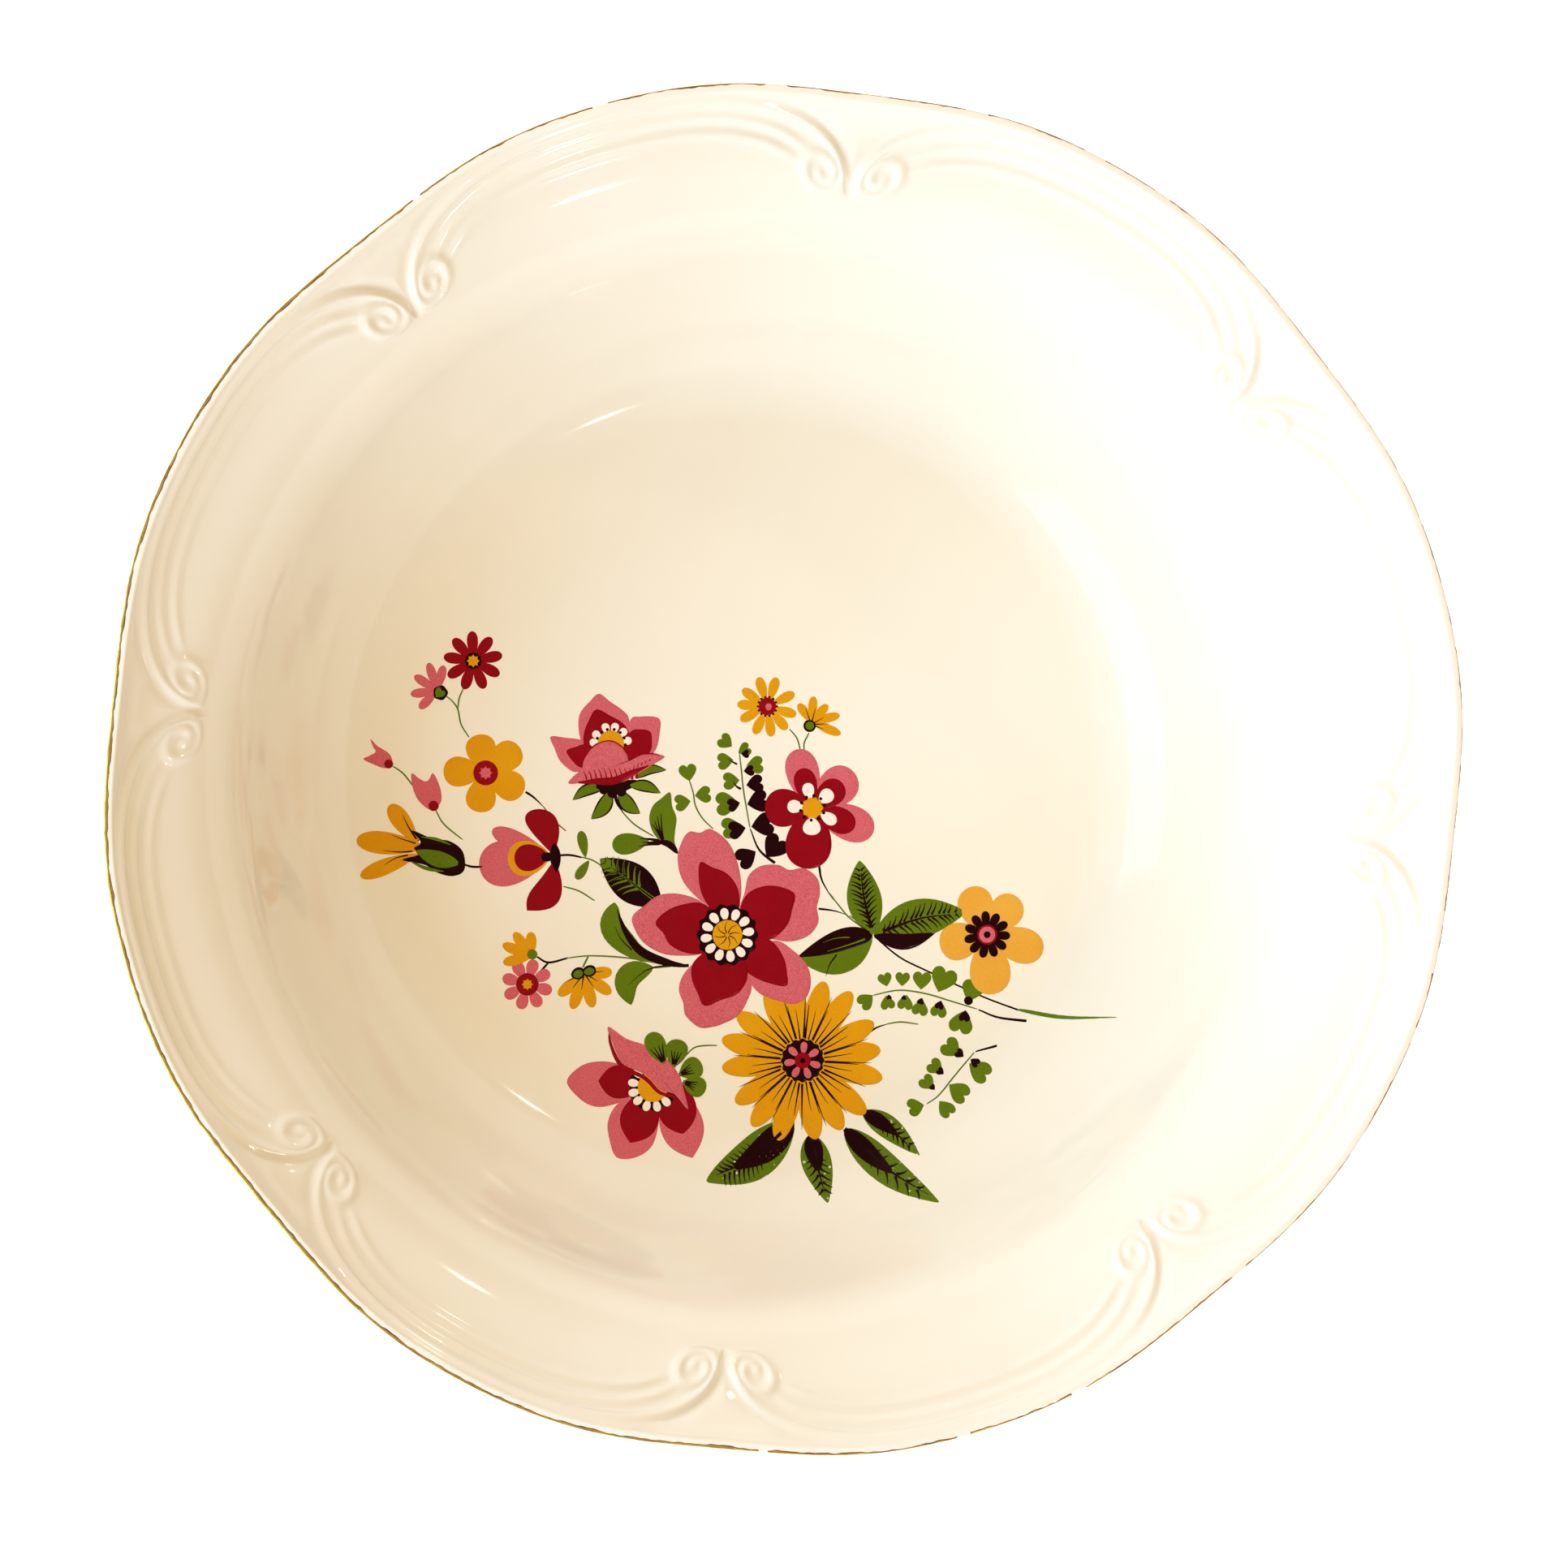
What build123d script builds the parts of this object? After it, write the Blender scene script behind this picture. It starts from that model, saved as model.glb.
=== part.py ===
"""Porcelain serving bowl: an eight-lobed bowl with a steep round wall and an everted lip, on a turned foot.

The bowl stands on z = 0 with its axis on Z. The notches between the lobes point along +X, +Y and the
diagonals. A gilt line runs on the crest of the lip, and a spray of flowers is printed on the floor of the
well: every separate patch of the print is a thin fired film of its own. All lengths are millimetres.
"""
from build123d import *
import math
import os

# Overall form
RIM_RADIUS = 120.0        # mean radius of the lip's outline
LOBES = 8
LOBE_SWELL = 0.0074       # share of the radius by which the outline swells at a lobe's middle
NOTCH_PINCH = 0.0019      # share of the second wave, which pinches the notches
LIP_TOP = 65.9
LIP_WIDTH = 1.8           # across the crest of the lip, before its edges are rounded
LIP_ROUND = 0.45

# Well and wall, as arcs that meet smoothly
FOOT_HEIGHT = 5.5
WALL = 4.0
FLOOR_TOP = FOOT_HEIGHT + WALL
FLOOR_RADIUS = 71.6
COVE_RADIUS = 14.5        # the cove between floor and wall
COVE_ANGLE = 43.6         # the slope at which the cove ends and the wall begins
WALL_RADIUS = 52.0
WALL_ANGLE = 78.0         # the wall's steepest slope, where it turns outward
FLARE_RADIUS = 27.0
JOIN_Z = 39.0             # the turned lower part ends and the lobed upper part begins here
JOIN_STEP = 0.05          # the upper part is this much thinner on each face

# Foot
FOOT_OUTER = 67.0
FOOT_INNER = 57.0
FOOT_TREAD = (59.5, 63.5) # the flat contact ring

# Gilt line and print
GILT_WIDTH = 0.7
FILM = 0.1                # thickness of the gilt and of the printed films
STEM = 0.8                # width of a printed stem
PRINT_TURN = 6.0          # the print is turned by this many degrees from the notches
FILM_TOP_Z = 30.0         # higher than any film reaches

# Middles of the open flowers, on the plan of the well
MAIN_FLOWER = (-3.5, -32.5)
RED_WINDFLOWER = (14.0, -6.5)
YELLOW_WINDFLOWER = (-52.5, 0.5)
ORANGE_WINDFLOWER = (50.0, -32.5)
YELLOW_DAISY = (4.5, 14.0)
MARGUERITE = (12.0, -58.0)
EYES = (                  # the dark middles and their radii
    (MAIN_FLOWER, 6.1),
    (RED_WINDFLOWER, 2.0),
    (YELLOW_WINDFLOWER, 2.6),
    (ORANGE_WINDFLOWER, 4.6),
    (YELLOW_DAISY, 2.0),
    (MARGUERITE, 4.2),
)

RING_POINTS = 64          # points that a lobed ring's curve passes through


def on_arc(centre, radius, slope):
    """The point of the wall's section where it climbs at this slope, on an arc about centre."""
    angle = math.radians(slope)
    return (centre[0] + radius * math.sin(angle), centre[1] - radius * math.cos(angle))


COVE_CENTRE = (FLOOR_RADIUS, FLOOR_TOP + COVE_RADIUS)
WALL_CENTRE = on_arc(COVE_CENTRE, COVE_RADIUS - WALL_RADIUS, COVE_ANGLE)
FLARE_CENTRE = on_arc(WALL_CENTRE, WALL_RADIUS + FLARE_RADIUS, WALL_ANGLE)


def wall_radius(z, offset):
    """The radius of the round wall's surface at height z, offset outward from the inside face."""
    if z <= on_arc(WALL_CENTRE, WALL_RADIUS + offset, WALL_ANGLE)[1]:
        return WALL_CENTRE[0] + math.sqrt((WALL_RADIUS + offset) ** 2 - (z - WALL_CENTRE[1]) ** 2)
    return FLARE_CENTRE[0] - math.sqrt((FLARE_RADIUS - offset) ** 2 - (z - FLARE_CENTRE[1]) ** 2)


def well_face(offset, top_z):
    """The floor, cove and wall of one face of the lower bowl, from the axis to height top_z."""
    floor_z = FLOOR_TOP - offset
    cove_middle = on_arc(COVE_CENTRE, COVE_RADIUS + offset, COVE_ANGLE / 2)
    cove_end = on_arc(COVE_CENTRE, COVE_RADIUS + offset, COVE_ANGLE)
    top = (wall_radius(top_z, offset), top_z)
    middle_z = (cove_end[1] + top_z) / 2
    return [
        Line((0, floor_z), (FLOOR_RADIUS, floor_z)),
        ThreePointArc((FLOOR_RADIUS, floor_z), cove_middle, cove_end),
        ThreePointArc(cove_end, (wall_radius(middle_z, offset), middle_z), top),
    ]


def turned(lines):
    """The solid that a closed section in the XZ plane sweeps about the bowl's axis."""
    return revolve(Plane.XZ * make_face(lines), Axis.Z)


def turned_wall(inside_offset, outside_offset, top_z):
    """The turned shell between two offsets from the inside face, up to height top_z."""
    inside = well_face(inside_offset, top_z)
    outside = well_face(outside_offset, top_z)
    axis_line = Line(inside[0] @ 0, outside[0] @ 0)
    top_line = Line(inside[-1] @ 1, outside[-1] @ 1)
    return turned([*inside, top_line, *outside, axis_line])


def lobe_wave(angle):
    """How far the lip's outline leaves a circle at this angle, as a share of its radius."""
    turn = LOBES * angle + math.pi
    return LOBE_SWELL * math.cos(turn) - NOTCH_PINCH * math.cos(2 * turn)


def ring(z, radius, share):
    """A closed lobed curve at height z, with this share of the lip's full wave."""
    points = []
    for step in range(RING_POINTS):
        angle = 2 * math.pi * step / RING_POINTS
        reach = radius * (1 + share * lobe_wave(angle))
        points.append((reach * math.cos(angle), reach * math.sin(angle), z))
    return Spline(points, periodic=True)


def lobed_solid(stations):
    """A solid lofted through lobed rings, given as (height, radius) from the join up to the lip."""
    rise = LIP_TOP - JOIN_Z
    faces = [make_face(ring(z, radius, ((z - JOIN_Z) / rise) ** 1.5)) for z, radius in stations]
    return loft(faces)


def bowl_body():
    """The thrown and pressed porcelain bowl, without its foot."""
    inside_z = (JOIN_Z, 43.0, 48.0, 53.0, 57.0)
    outside_z = (JOIN_Z, 43.0, 47.0, 51.0, 54.0)
    inside = [(z, wall_radius(z, 0) + JOIN_STEP) for z in inside_z]
    outside = [(z, wall_radius(z, WALL) - JOIN_STEP) for z in outside_z]
    inside += [(60.0, 113.6), (62.5, 116.4), (LIP_TOP, RIM_RADIUS - LIP_WIDTH)]
    outside += [(57.0, 115.4), (60.0, 118.2), (63.0, 119.5), (LIP_TOP, RIM_RADIUS)]
    upper = lobed_solid(outside) - lobed_solid(inside)
    body = turned_wall(0, WALL, JOIN_Z) + upper
    lip_edges = body.edges().group_by(Axis.Z)[-1]
    return fillet(lip_edges, LIP_ROUND)


def foot_ring():
    """The turned foot, with a narrow flat tread that is wiped free of glaze."""
    section = Polyline(
        (FOOT_INNER, FOOT_HEIGHT),
        (FOOT_INNER + 1.0, 1.2),
        (FOOT_TREAD[0], 0),
        (FOOT_TREAD[1], 0),
        (FOOT_OUTER - 1.8, 1.4),
        (FOOT_OUTER, FOOT_HEIGHT),
        close=True,
    )
    return turned(section)


def gilt_line():
    """The fired gold line on the crest of the lip."""
    outer = RIM_RADIUS - (LIP_WIDTH - GILT_WIDTH) / 2
    band = make_face(ring(LIP_TOP, outer, 1)) - make_face(ring(LIP_TOP, outer - GILT_WIDTH, 1))
    return extrude(band, FILM, dir=(0, 0, 1))


# Printed shapes. Places are on the plan of the well, before the print is turned.


def disc(centre, radius):
    """A round dot."""
    return Pos(*centre) * Circle(radius)


def petal(base, tip, width):
    """A rounded petal from its narrow base to its broad tip."""
    base, tip = Vector(*base), Vector(*tip)
    along = tip - base
    side = Vector(-along.Y, along.X).normalized() * width / 2
    broad = base + along * 0.6
    return make_face(Spline(base, broad + side, tip, broad - side, periodic=True))


def leaf(base, tip, width):
    """A pointed leaf between two arcs."""
    base, tip = Vector(*base), Vector(*tip)
    along = tip - base
    side = Vector(-along.Y, along.X).normalized() * width / 2
    middle = base + along / 2
    return make_face([ThreePointArc(base, middle + side, tip), ThreePointArc(tip, middle - side, base)])


def heart(centre, size, heading=90.0):
    """A heart-shaped leaflet: two petals that part from its point, with the cleft at heading."""
    middle = Vector(*centre)
    ahead = Vector(size / 2, 0).rotate(Axis.Z, heading)
    point = middle - ahead
    halves = [petal(point, middle + ahead.rotate(Axis.Z, part), size * 0.62) for part in (-35, 35)]
    return halves[0] + halves[1]


def stem(*points, width=STEM):
    """A thin stem of even width through these points."""
    line = Line(*points) if len(points) == 2 else Spline(*points)
    return trace(line, width)


def flower(centre, radius, petals, width, hub, first=90.0):
    """A whole flower: petals all round a hub, the first of them at heading first."""
    shapes = [disc(centre, hub)]
    for number in range(petals):
        angle = math.radians(first + 360 * number / petals)
        heading = Vector(math.cos(angle), math.sin(angle))
        middle = Vector(*centre)
        shapes.append(petal(middle + heading * hub * 0.5, middle + heading * radius, width))
    return shapes


def spray(centre, tips, width):
    """Petals that fan out from one point to these tips."""
    return [petal(centre, tip, width) for tip in tips]


def motifs():
    """Every named patch of the print: its name and its shapes. Earlier patches lie on top."""
    return [
        ("print_cream_rays", cream_rays()),
        ("print_dark_eyes", [disc(centre, radius) for centre, radius in EYES]),
        ("print_main_flower_points", spray(MAIN_FLOWER, [
            (-9, -18), (10.5, -24.5), (8.5, -43), (-8, -46.5), (-18, -30)], 6.0)),
        ("print_red_windflower_points", spray(RED_WINDFLOWER, [
            (17.5, 4), (26, -5.5), (22.5, -14.5), (12.5, -19), (5, -5.5)], 5.0)),
        ("print_dark_daisy", flower((-55, 23), 6.0, 9, 3.0, 1.6)),
        ("print_pink_half_daisy", spray((-61.5, 16.5), [
            (-64, 22.5), (-60.5, 22), (-66.5, 20), (-67.5, 16), (-65.5, 13.5)], 2.4)
            + [disc((-60.8, 16.7), 1.4), stem((-60, 16), (-58, 13.5), (-56, 8)),
               stem((-57, 18), (-58, 13.5))]),
        ("print_yellow_windflower", flower(YELLOW_WINDFLOWER, 8.6, 5, 7.0, 2.7, 98)
            + [stem((-44.5, -3.5), (-40.5, -6.5), (-36, -11.5))]),
        ("print_tulip_buds", [
            petal((-71.5, 2), (-76.2, 5.6), 5.0), stem((-71, 2), (-66.5, -3)),
            petal((-63, -6.5), (-65.8, 0.6), 5.6), stem((-62.5, -7), (-57, -13))]),
        ("print_trumpet_flower", spray((-61.5, -16), [
            (-71, -5.5), (-76.5, -12.5), (-76, -19)], 9.0)
            + [leaf((-68, -11.5), (-56.8, -17.6), 5.0), stem((-57, -17.6), (-53.5, -18.5))]),
        ("print_side_flower", spray((-39.5, -15.8), [
            (-53.5, -19), (-51, -12), (-42.5, -7.8), (-44, -27)], 7.5)
            + [stem((-38.5, -16), (-34, -16.5), (-29, -18.5)), leaf((-33, -16.6), (-33, -12.4), 2.2),
               leaf((-33.2, -16.6), (-34.2, -21), 2.2)]),
        ("print_rose", [
            petal((-27, -2), (-30, 16.5), 15.0), petal((-27, -2), (-17.5, 11), 12.0),
            petal((-27, -2), (-39, 8), 10.0), petal((-33, 3.5), (-17, 3.8), 9.0),
            leaf((-26.5, -2.5), (-35, -5), 3.0), leaf((-26.5, -2.5), (-31, -9), 3.0),
            leaf((-26.5, -2.5), (-21, -8), 3.0), leaf((-26.5, -2.5), (-16.5, -3.5), 3.0),
            stem((-26.5, -3), (-24, -8.5), (-18.5, -12.5))]),
        ("print_rose_leaves", [
            leaf((-13.5, -15.5), (-15, -3.5), 6.0), leaf((-18.6, -13.2), (-27, -14.5), 5.0)]),
        ("print_three_heart_sprig", [
            heart((-11.5, 0.5), 3.6, 270), heart((-8, -3.8), 3.2, 315), heart((-13, -5.2), 3.2, 225),
            stem((-11.4, -0.8), (-10, -6), (-6.5, -11))]),
        ("print_heart_fern", heart_fern()),
        ("print_yellow_daisy", flower(YELLOW_DAISY, 6.0, 10, 2.8, 2.2)
            + [stem((7, 9.6), (9.4, 8.4), (12.4, 4.6))]),
        ("print_yellow_half_daisy", spray((13.5, 10), [
            (11.5, 14.5), (14, 16), (17, 15), (19.5, 12.5), (19.5, 8.5)], 2.6)
            + [disc((13.4, 10), 1.3)]),
        ("print_pink_windflower", flower(RED_WINDFLOWER, 12.5, 5, 10.0, 2.8, 110)
            + [stem((15.5, -18), (21.5, -29))]),
        ("print_main_flower", main_flower()),
        ("print_yellow_marguerite", flower(MARGUERITE, 16.7, 16, 5.0, 4.4)
            + [stem((25.5, -52.5), (31, -51.2), (36, -51))]),
        ("print_low_leaves", [
            leaf((10, -71.5), (-8.5, -81), 5.5), leaf((13.5, -73.5), (15.5, -85), 5.5),
            leaf((21, -72.5), (35.5, -82.5), 5.0), leaf((24.5, -69), (36, -74.5), 4.5)]),
        ("print_side_poppy", spray((-17, -62), [
            (-36, -62), (-27, -77), (-11, -77), (-27.5, -51)], 11.0)
            + [leaf((-20, -52.5), (-8.5, -65), 5.0), stem((-12, -56.5), (-8, -56.2), (-5.5, -55))]),
        ("print_bud_cluster", spray((-42.8, -36.5), [
            (-46.5, -31.5), (-43.5, -31.5), (-49, -34), (-49, -37.5)], 2.6)
            + flower((-44, -42.5), 5.0, 8, 2.8, 1.8)
            + spray((-32.5, -39.5), [
                (-38, -44), (-35, -47), (-31, -47), (-27.5, -44.5), (-27, -40)], 3.4)
            + [stem((-42, -36.5), (-39.5, -38), (-36, -37), (-30.5, -36.5), (-20.5, -38.2)),
               stem((-39.5, -37.6), (-41.5, -39.5)), stem((-33.5, -36.6), (-33, -39))]),
        ("print_side_leaves", [
            leaf((-15.5, -38), (-29, -27.5), 6.5), leaf((-19.5, -40), (-26, -45.5), 5.0),
            leaf((-17, -26.5), (-29.5, -17), 7.0)]),
        ("print_triple_leaves", [
            leaf((26.5, -32.5), (24, -17.5), 7.5), leaf((27, -32.5), (46, -28), 8.0),
            leaf((26, -33), (12, -38), 7.5), stem((15, -27), (21.5, -29)),
            stem((27, -33), (37.5, -40), (49, -45.5), (58, -48), (73.5, -48.5))]),
        ("print_orange_windflower", flower(ORANGE_WINDFLOWER, 12.0, 5, 10.0, 4.6, 120)),
        ("print_flat_heart_sprig", flat_heart_sprig()),
        ("print_low_heart_sprig", low_heart_sprig()),
    ]


def main_flower():
    """The broad petals of the large flower in the middle of the spray."""
    tips = [(-7.3, -10.5), (13.5, -19.5), (11.3, -46.8), (-8.8, -51), (-23, -29)]
    return spray(MAIN_FLOWER, tips, 16.0)


def cream_rays():
    """The short pale rays inside the eyes of the two largest windflowers."""
    shapes = []
    for centre, count, inner, outer, width in ((MAIN_FLOWER, 12, 3.1, 5.6, 1.4), (RED_WINDFLOWER, 5, 2.2, 5.0, 2.6)):
        for number in range(count):
            heading = Vector(1, 0).rotate(Axis.Z, 360 * number / count)
            middle = Vector(*centre)
            shapes.append(petal(middle + heading * inner, middle + heading * outer, width))
    return shapes


def heart_fern():
    """The upright sprig with pairs of heart-shaped leaflets."""
    left = [(-4, 6.5), (-3.8, 3), (-3.2, -0.8), (-4, -5.5), (-2.2, -10.8), (0.4, -15.8)]
    right = [(0.2, 5.8), (2.4, 2.8), (3, -1), (3.2, -5.2), (4.4, -9.6), (6.2, -13.8)]
    shapes = [heart(place, 2.8, 300) for place in left]
    shapes += [heart(place, 2.8, 240) for place in right]
    return shapes + [stem((-1.8, 4), (-0.2, -6), (3, -15), (6.5, -18), width=0.6)]


def flat_heart_sprig():
    """The sprig that lies level, with leaflets above and below its stem."""
    above = [(29, -41.6), (32.6, -41.6), (36.4, -41.6), (41, -41.8), (46.6, -43.6)]
    below = [(25.4, -46.2), (29.8, -46.8), (33.6, -47), (37, -48.2), (41, -48.4), (45.4, -50.4)]
    shapes = [heart(place, 2.8, 180) for place in above + below]
    return shapes + [stem((27, -44.4), (33, -44.2), (40.5, -45.4), (46.5, -47), (58.5, -50.4), width=0.6)]


def low_heart_sprig():
    """The sprig at the lower right."""
    places = [(43, -55.2), (48.8, -60), (39, -59), (37.6, -63), (44.6, -64.6), (34.8, -67.4), (41.4, -67.8)]
    shapes = [heart(place, 3.4, 230) for place in places]
    return shapes + [stem((52, -55), (47.5, -56.5), (42, -61), (37.8, -67.5), width=0.6)]


def near(box, other):
    """Whether two flat boxes overlap."""
    across = box.min.X < other.max.X and other.min.X < box.max.X
    return across and box.min.Y < other.max.Y and other.min.Y < box.max.Y


def printed_films():
    """Each patch of the print as a film that follows the floor, the cove and the wall."""
    skin = turned_wall(-FILM, 0, FILM_TOP_Z)
    covered = []
    films = {}
    for name, shapes in motifs():
        outline = Sketch() + shapes
        for other in covered:
            if near(outline.bounding_box(), other.bounding_box()):
                outline -= other
        covered.append(outline)
        column = extrude(Rot(0, 0, PRINT_TURN) * outline, FILM_TOP_Z, dir=(0, 0, 1))
        films[name] = column & skin
    return films


def write(parts):
    """One file for each named part."""
    os.makedirs("parts", exist_ok=True)
    for name, shape in parts.items():
        solids = shape.solids()
        export_step(solids[0] if len(solids) == 1 else Compound(children=solids), f"parts/{name}.step")


write({
    "bowl_body": bowl_body(),
    "foot_ring": foot_ring(),
    "gilt_rim_line": gilt_line(),
    **printed_films(),
})
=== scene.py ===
"""The looks of the porcelain serving bowl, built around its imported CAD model.

The bowl stands on z = 0 with its axis on Z. Its notches point along +X, +Y and the diagonals. Shapes are
worked out in millimetres and become metres when their mesh is made. The printed flowers are drawn flat, in a
plan frame that is turned PRINT_TURN degrees from the bowl's own, and are then laid on the well.
"""
import math

import bpy
import numpy as np
from mathutils import Matrix, Vector


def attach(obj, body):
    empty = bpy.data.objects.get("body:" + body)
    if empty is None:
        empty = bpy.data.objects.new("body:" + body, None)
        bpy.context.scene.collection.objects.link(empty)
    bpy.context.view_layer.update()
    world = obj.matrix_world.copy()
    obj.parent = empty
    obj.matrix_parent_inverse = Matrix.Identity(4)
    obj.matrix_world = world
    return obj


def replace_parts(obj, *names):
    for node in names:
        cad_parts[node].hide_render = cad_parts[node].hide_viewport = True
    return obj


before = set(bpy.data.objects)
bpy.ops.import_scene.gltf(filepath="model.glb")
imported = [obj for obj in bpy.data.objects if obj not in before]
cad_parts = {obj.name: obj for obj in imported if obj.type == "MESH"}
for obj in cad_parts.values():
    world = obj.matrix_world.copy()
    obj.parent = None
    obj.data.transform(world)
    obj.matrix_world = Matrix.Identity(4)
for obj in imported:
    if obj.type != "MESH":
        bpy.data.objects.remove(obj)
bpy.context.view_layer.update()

MM = 0.001

# The bowl's driving sizes, as in the CAD model
RIM_RADIUS = 120.0
LOBES = 8
LOBE_SWELL = 0.0074
NOTCH_PINCH = 0.0019
LIP_TOP = 65.9
LIP_WIDTH = 1.8
LIP_ROUND = 0.45
INSET = 0.1               # the visible outer face stays this far inside the CAD model's
FOOT_HEIGHT = 5.5
WALL = 4.0
FLOOR_TOP = FOOT_HEIGHT + WALL
FLOOR_RADIUS = 71.6
COVE_RADIUS = 14.5
COVE_ANGLE = 43.6
WALL_RADIUS = 52.0
WALL_ANGLE = 78.0
FLARE_RADIUS = 27.0
JOIN_Z = 39.0
LOBE_RISE = 1.5           # the lobes grow by this power of the way up from the join
FOOT_OUTER = 67.0
FOOT_INNER = 57.0
FOOT_TREAD = (59.5, 63.5)
PRINT_TURN = 6.0

# The scroll relief, on the inside face: distances along the rim from a lobe's middle, and down from the lip
RELIEF_DEPTH = 18.4       # the relief ends this far down from the lip
SCROLL_CENTRE = (37.1, 13.3)
SCROLL_RADIUS = 3.7
SCROLL_SHRINK = 2.5       # how much of its radius the scroll loses as it curls inward
SCROLL_TURN = 2.7 * math.pi
OUTER_RIB = (40.8, 12.1, 1.2, math.pi / 2)     # a rib's reach, drop, start, and how far round it turns
SECOND_RIB = (37.5, 11.6, 4.2, 1.08)
THIRD_RIB = (36.0, 11.1, 7.2, 0.98)
SMALL_RIB_FADE = 5.0      # the small ribs fade out over this length
RIB_HEIGHT = 0.7
RIB_WIDTH = 0.95
SMALL_RIB_HEIGHT = 0.6
SMALL_RIB_WIDTH = 0.8
HOLLOW = 0.45             # depth of the hollow outside the outer rib
HOLLOW_OFFSET = 1.4       # its distance from the rib's crest
HOLLOW_WIDTH = 1.6

# Mesh density
HALF_LOBE_COLUMNS = 80
COARSE_STEP = 4           # columns of the plain faces are this many relief columns apart
RELIEF_ROWS = 38
WALL_ROWS = 24
COVE_ROWS = 22
FLOOR_RINGS = (FLOOR_RADIUS - 1.5, 60, 45, 30, 15, 4)

# Gilding
RIM_POINTS = 1800
GOLD_LIT_HEADING = 205    # the picture's heading, in degrees, of the lit side: the gold line is widest here and narrows and breaks more toward the far side, as painted shade
GOLD_LIFT = 0.03
STAIN_LIFT = 0.04
GOLD_EDGE = -0.02         # the line's edges are tucked this far under the glaze

# Print
FIRST_LIFT = 0.03         # the lowest printed layer's height above the glaze
LAYER_LIFT = 0.014        # each further layer's step
SHAPE_LIFT = 0.010        # the shapes within one layer are spread over this much height
GOLDEN_SHARE = 0.618      # steps by this share of a range never meet again
EDGE_DROP = -0.3          # a shape's outline goes under the glaze, by this share of FIRST_LIFT
BEVEL = 0.1               # the width of the slope from a shape's outline to its top
ROW_STEP = 0.8            # rows of a shape are at most about this far apart, so that it follows the cove
LINE = 0.36               # the width of a fine printed stem
INK_GLOSS = 0.1


# ------------------------------------------------------------------------------
# The bowl's section


def on_arc(centre, radius, slope):
    """The point of the wall's section where it climbs at this slope in degrees, on an arc about centre."""
    angle = math.radians(slope)
    return (centre[0] + radius * math.sin(angle), centre[1] - radius * math.cos(angle))


COVE_CENTRE = (FLOOR_RADIUS, FLOOR_TOP + COVE_RADIUS)
WALL_CENTRE = on_arc(COVE_CENTRE, COVE_RADIUS - WALL_RADIUS, COVE_ANGLE)
FLARE_CENTRE = on_arc(WALL_CENTRE, WALL_RADIUS + FLARE_RADIUS, WALL_ANGLE)


def arc(centre, radius, first, last, count):
    """Points of an arc of the section, from one slope to another."""
    return [on_arc(centre, radius, slope) for slope in np.linspace(first, last, count)]


def wall_radius(z, offset):
    """The radius of the round wall's surface at height z, offset outward from the inside face."""
    if z <= on_arc(WALL_CENTRE, WALL_RADIUS + offset, WALL_ANGLE)[1]:
        return WALL_CENTRE[0] + math.sqrt((WALL_RADIUS + offset) ** 2 - (z - WALL_CENTRE[1]) ** 2)
    return FLARE_CENTRE[0] - math.sqrt((FLARE_RADIUS - offset) ** 2 - (z - FLARE_CENTRE[1]) ** 2)


def curve(points, count, closed=False):
    """Points along a smooth curve through the given ones."""
    points = np.array(points, float)
    if closed:
        padded = np.vstack([points[-1:], points, points[:2]])
    else:
        padded = np.vstack([2 * points[:1] - points[1:2], points, 2 * points[-1:] - points[-2:-1]])
    spans = len(padded) - 3
    at = np.linspace(0, spans, count, endpoint=not closed)
    whole = np.minimum(at.astype(int), spans - 1)
    part = (at - whole)[:, None]
    a, b, c, d = (padded[whole + step] for step in range(4))
    cubic = (3 * b - a - 3 * c + d) * part ** 3 + (2 * a - 5 * b + 4 * c - d) * part ** 2
    return 0.5 * (2 * b + (c - a) * part + cubic)


def lengths(points):
    """The distance along a polyline to each of its points."""
    return np.concatenate([[0], np.cumsum(np.linalg.norm(np.diff(points, axis=0), axis=1))])


def at_lengths(points, where):
    """The points of a polyline at these distances along it."""
    along = lengths(points)
    return np.column_stack([np.interp(where, along, points[:, axis]) for axis in range(points.shape[1])])


def inside_section():
    """The inside face from the lip's edge down to the middle of the floor."""
    lip = [(RIM_RADIUS - LIP_WIDTH, LIP_TOP - LIP_ROUND), (116.4, 62.5), (113.6, 60.0)]
    wall = [(wall_radius(z, 0), z) for z in (57.0, 54.0, 50.0, 46.0, 42.0)]
    upper = curve(lip + wall, 240)
    middle_slope = math.degrees(math.acos((WALL_CENTRE[1] - upper[-1][1]) / WALL_RADIUS))
    lower = arc(WALL_CENTRE, WALL_RADIUS, middle_slope, COVE_ANGLE, 40)[1:]
    cove = arc(COVE_CENTRE, COVE_RADIUS, COVE_ANGLE, 0, 30)[1:]
    return np.vstack([upper, lower, cove, [(0.0, FLOOR_TOP)]])


def outside_section():
    """The outside face from the middle of the underside up to the lip's edge."""
    base = [(r, FOOT_HEIGHT) for r in (3, 15, 30, 45, 57, 67)]
    cove = arc(COVE_CENTRE, COVE_RADIUS + WALL, 0, COVE_ANGLE, 12)
    lower = arc(WALL_CENTRE, WALL_RADIUS + WALL, COVE_ANGLE, WALL_ANGLE - 4, 14)[1:]
    flare = [(wall_radius(z, WALL) - INSET, z) for z in (47.0, 50.0, 52.0, 54.0)]
    lip = [(115.3, 57.0), (118.1, 60.0), (119.4, 63.0), (RIM_RADIUS - INSET, LIP_TOP - LIP_ROUND)]
    upper = curve([lower[-1], *flare, *lip], 30)[1:]
    return np.vstack([base, cove, lower, upper])


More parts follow.
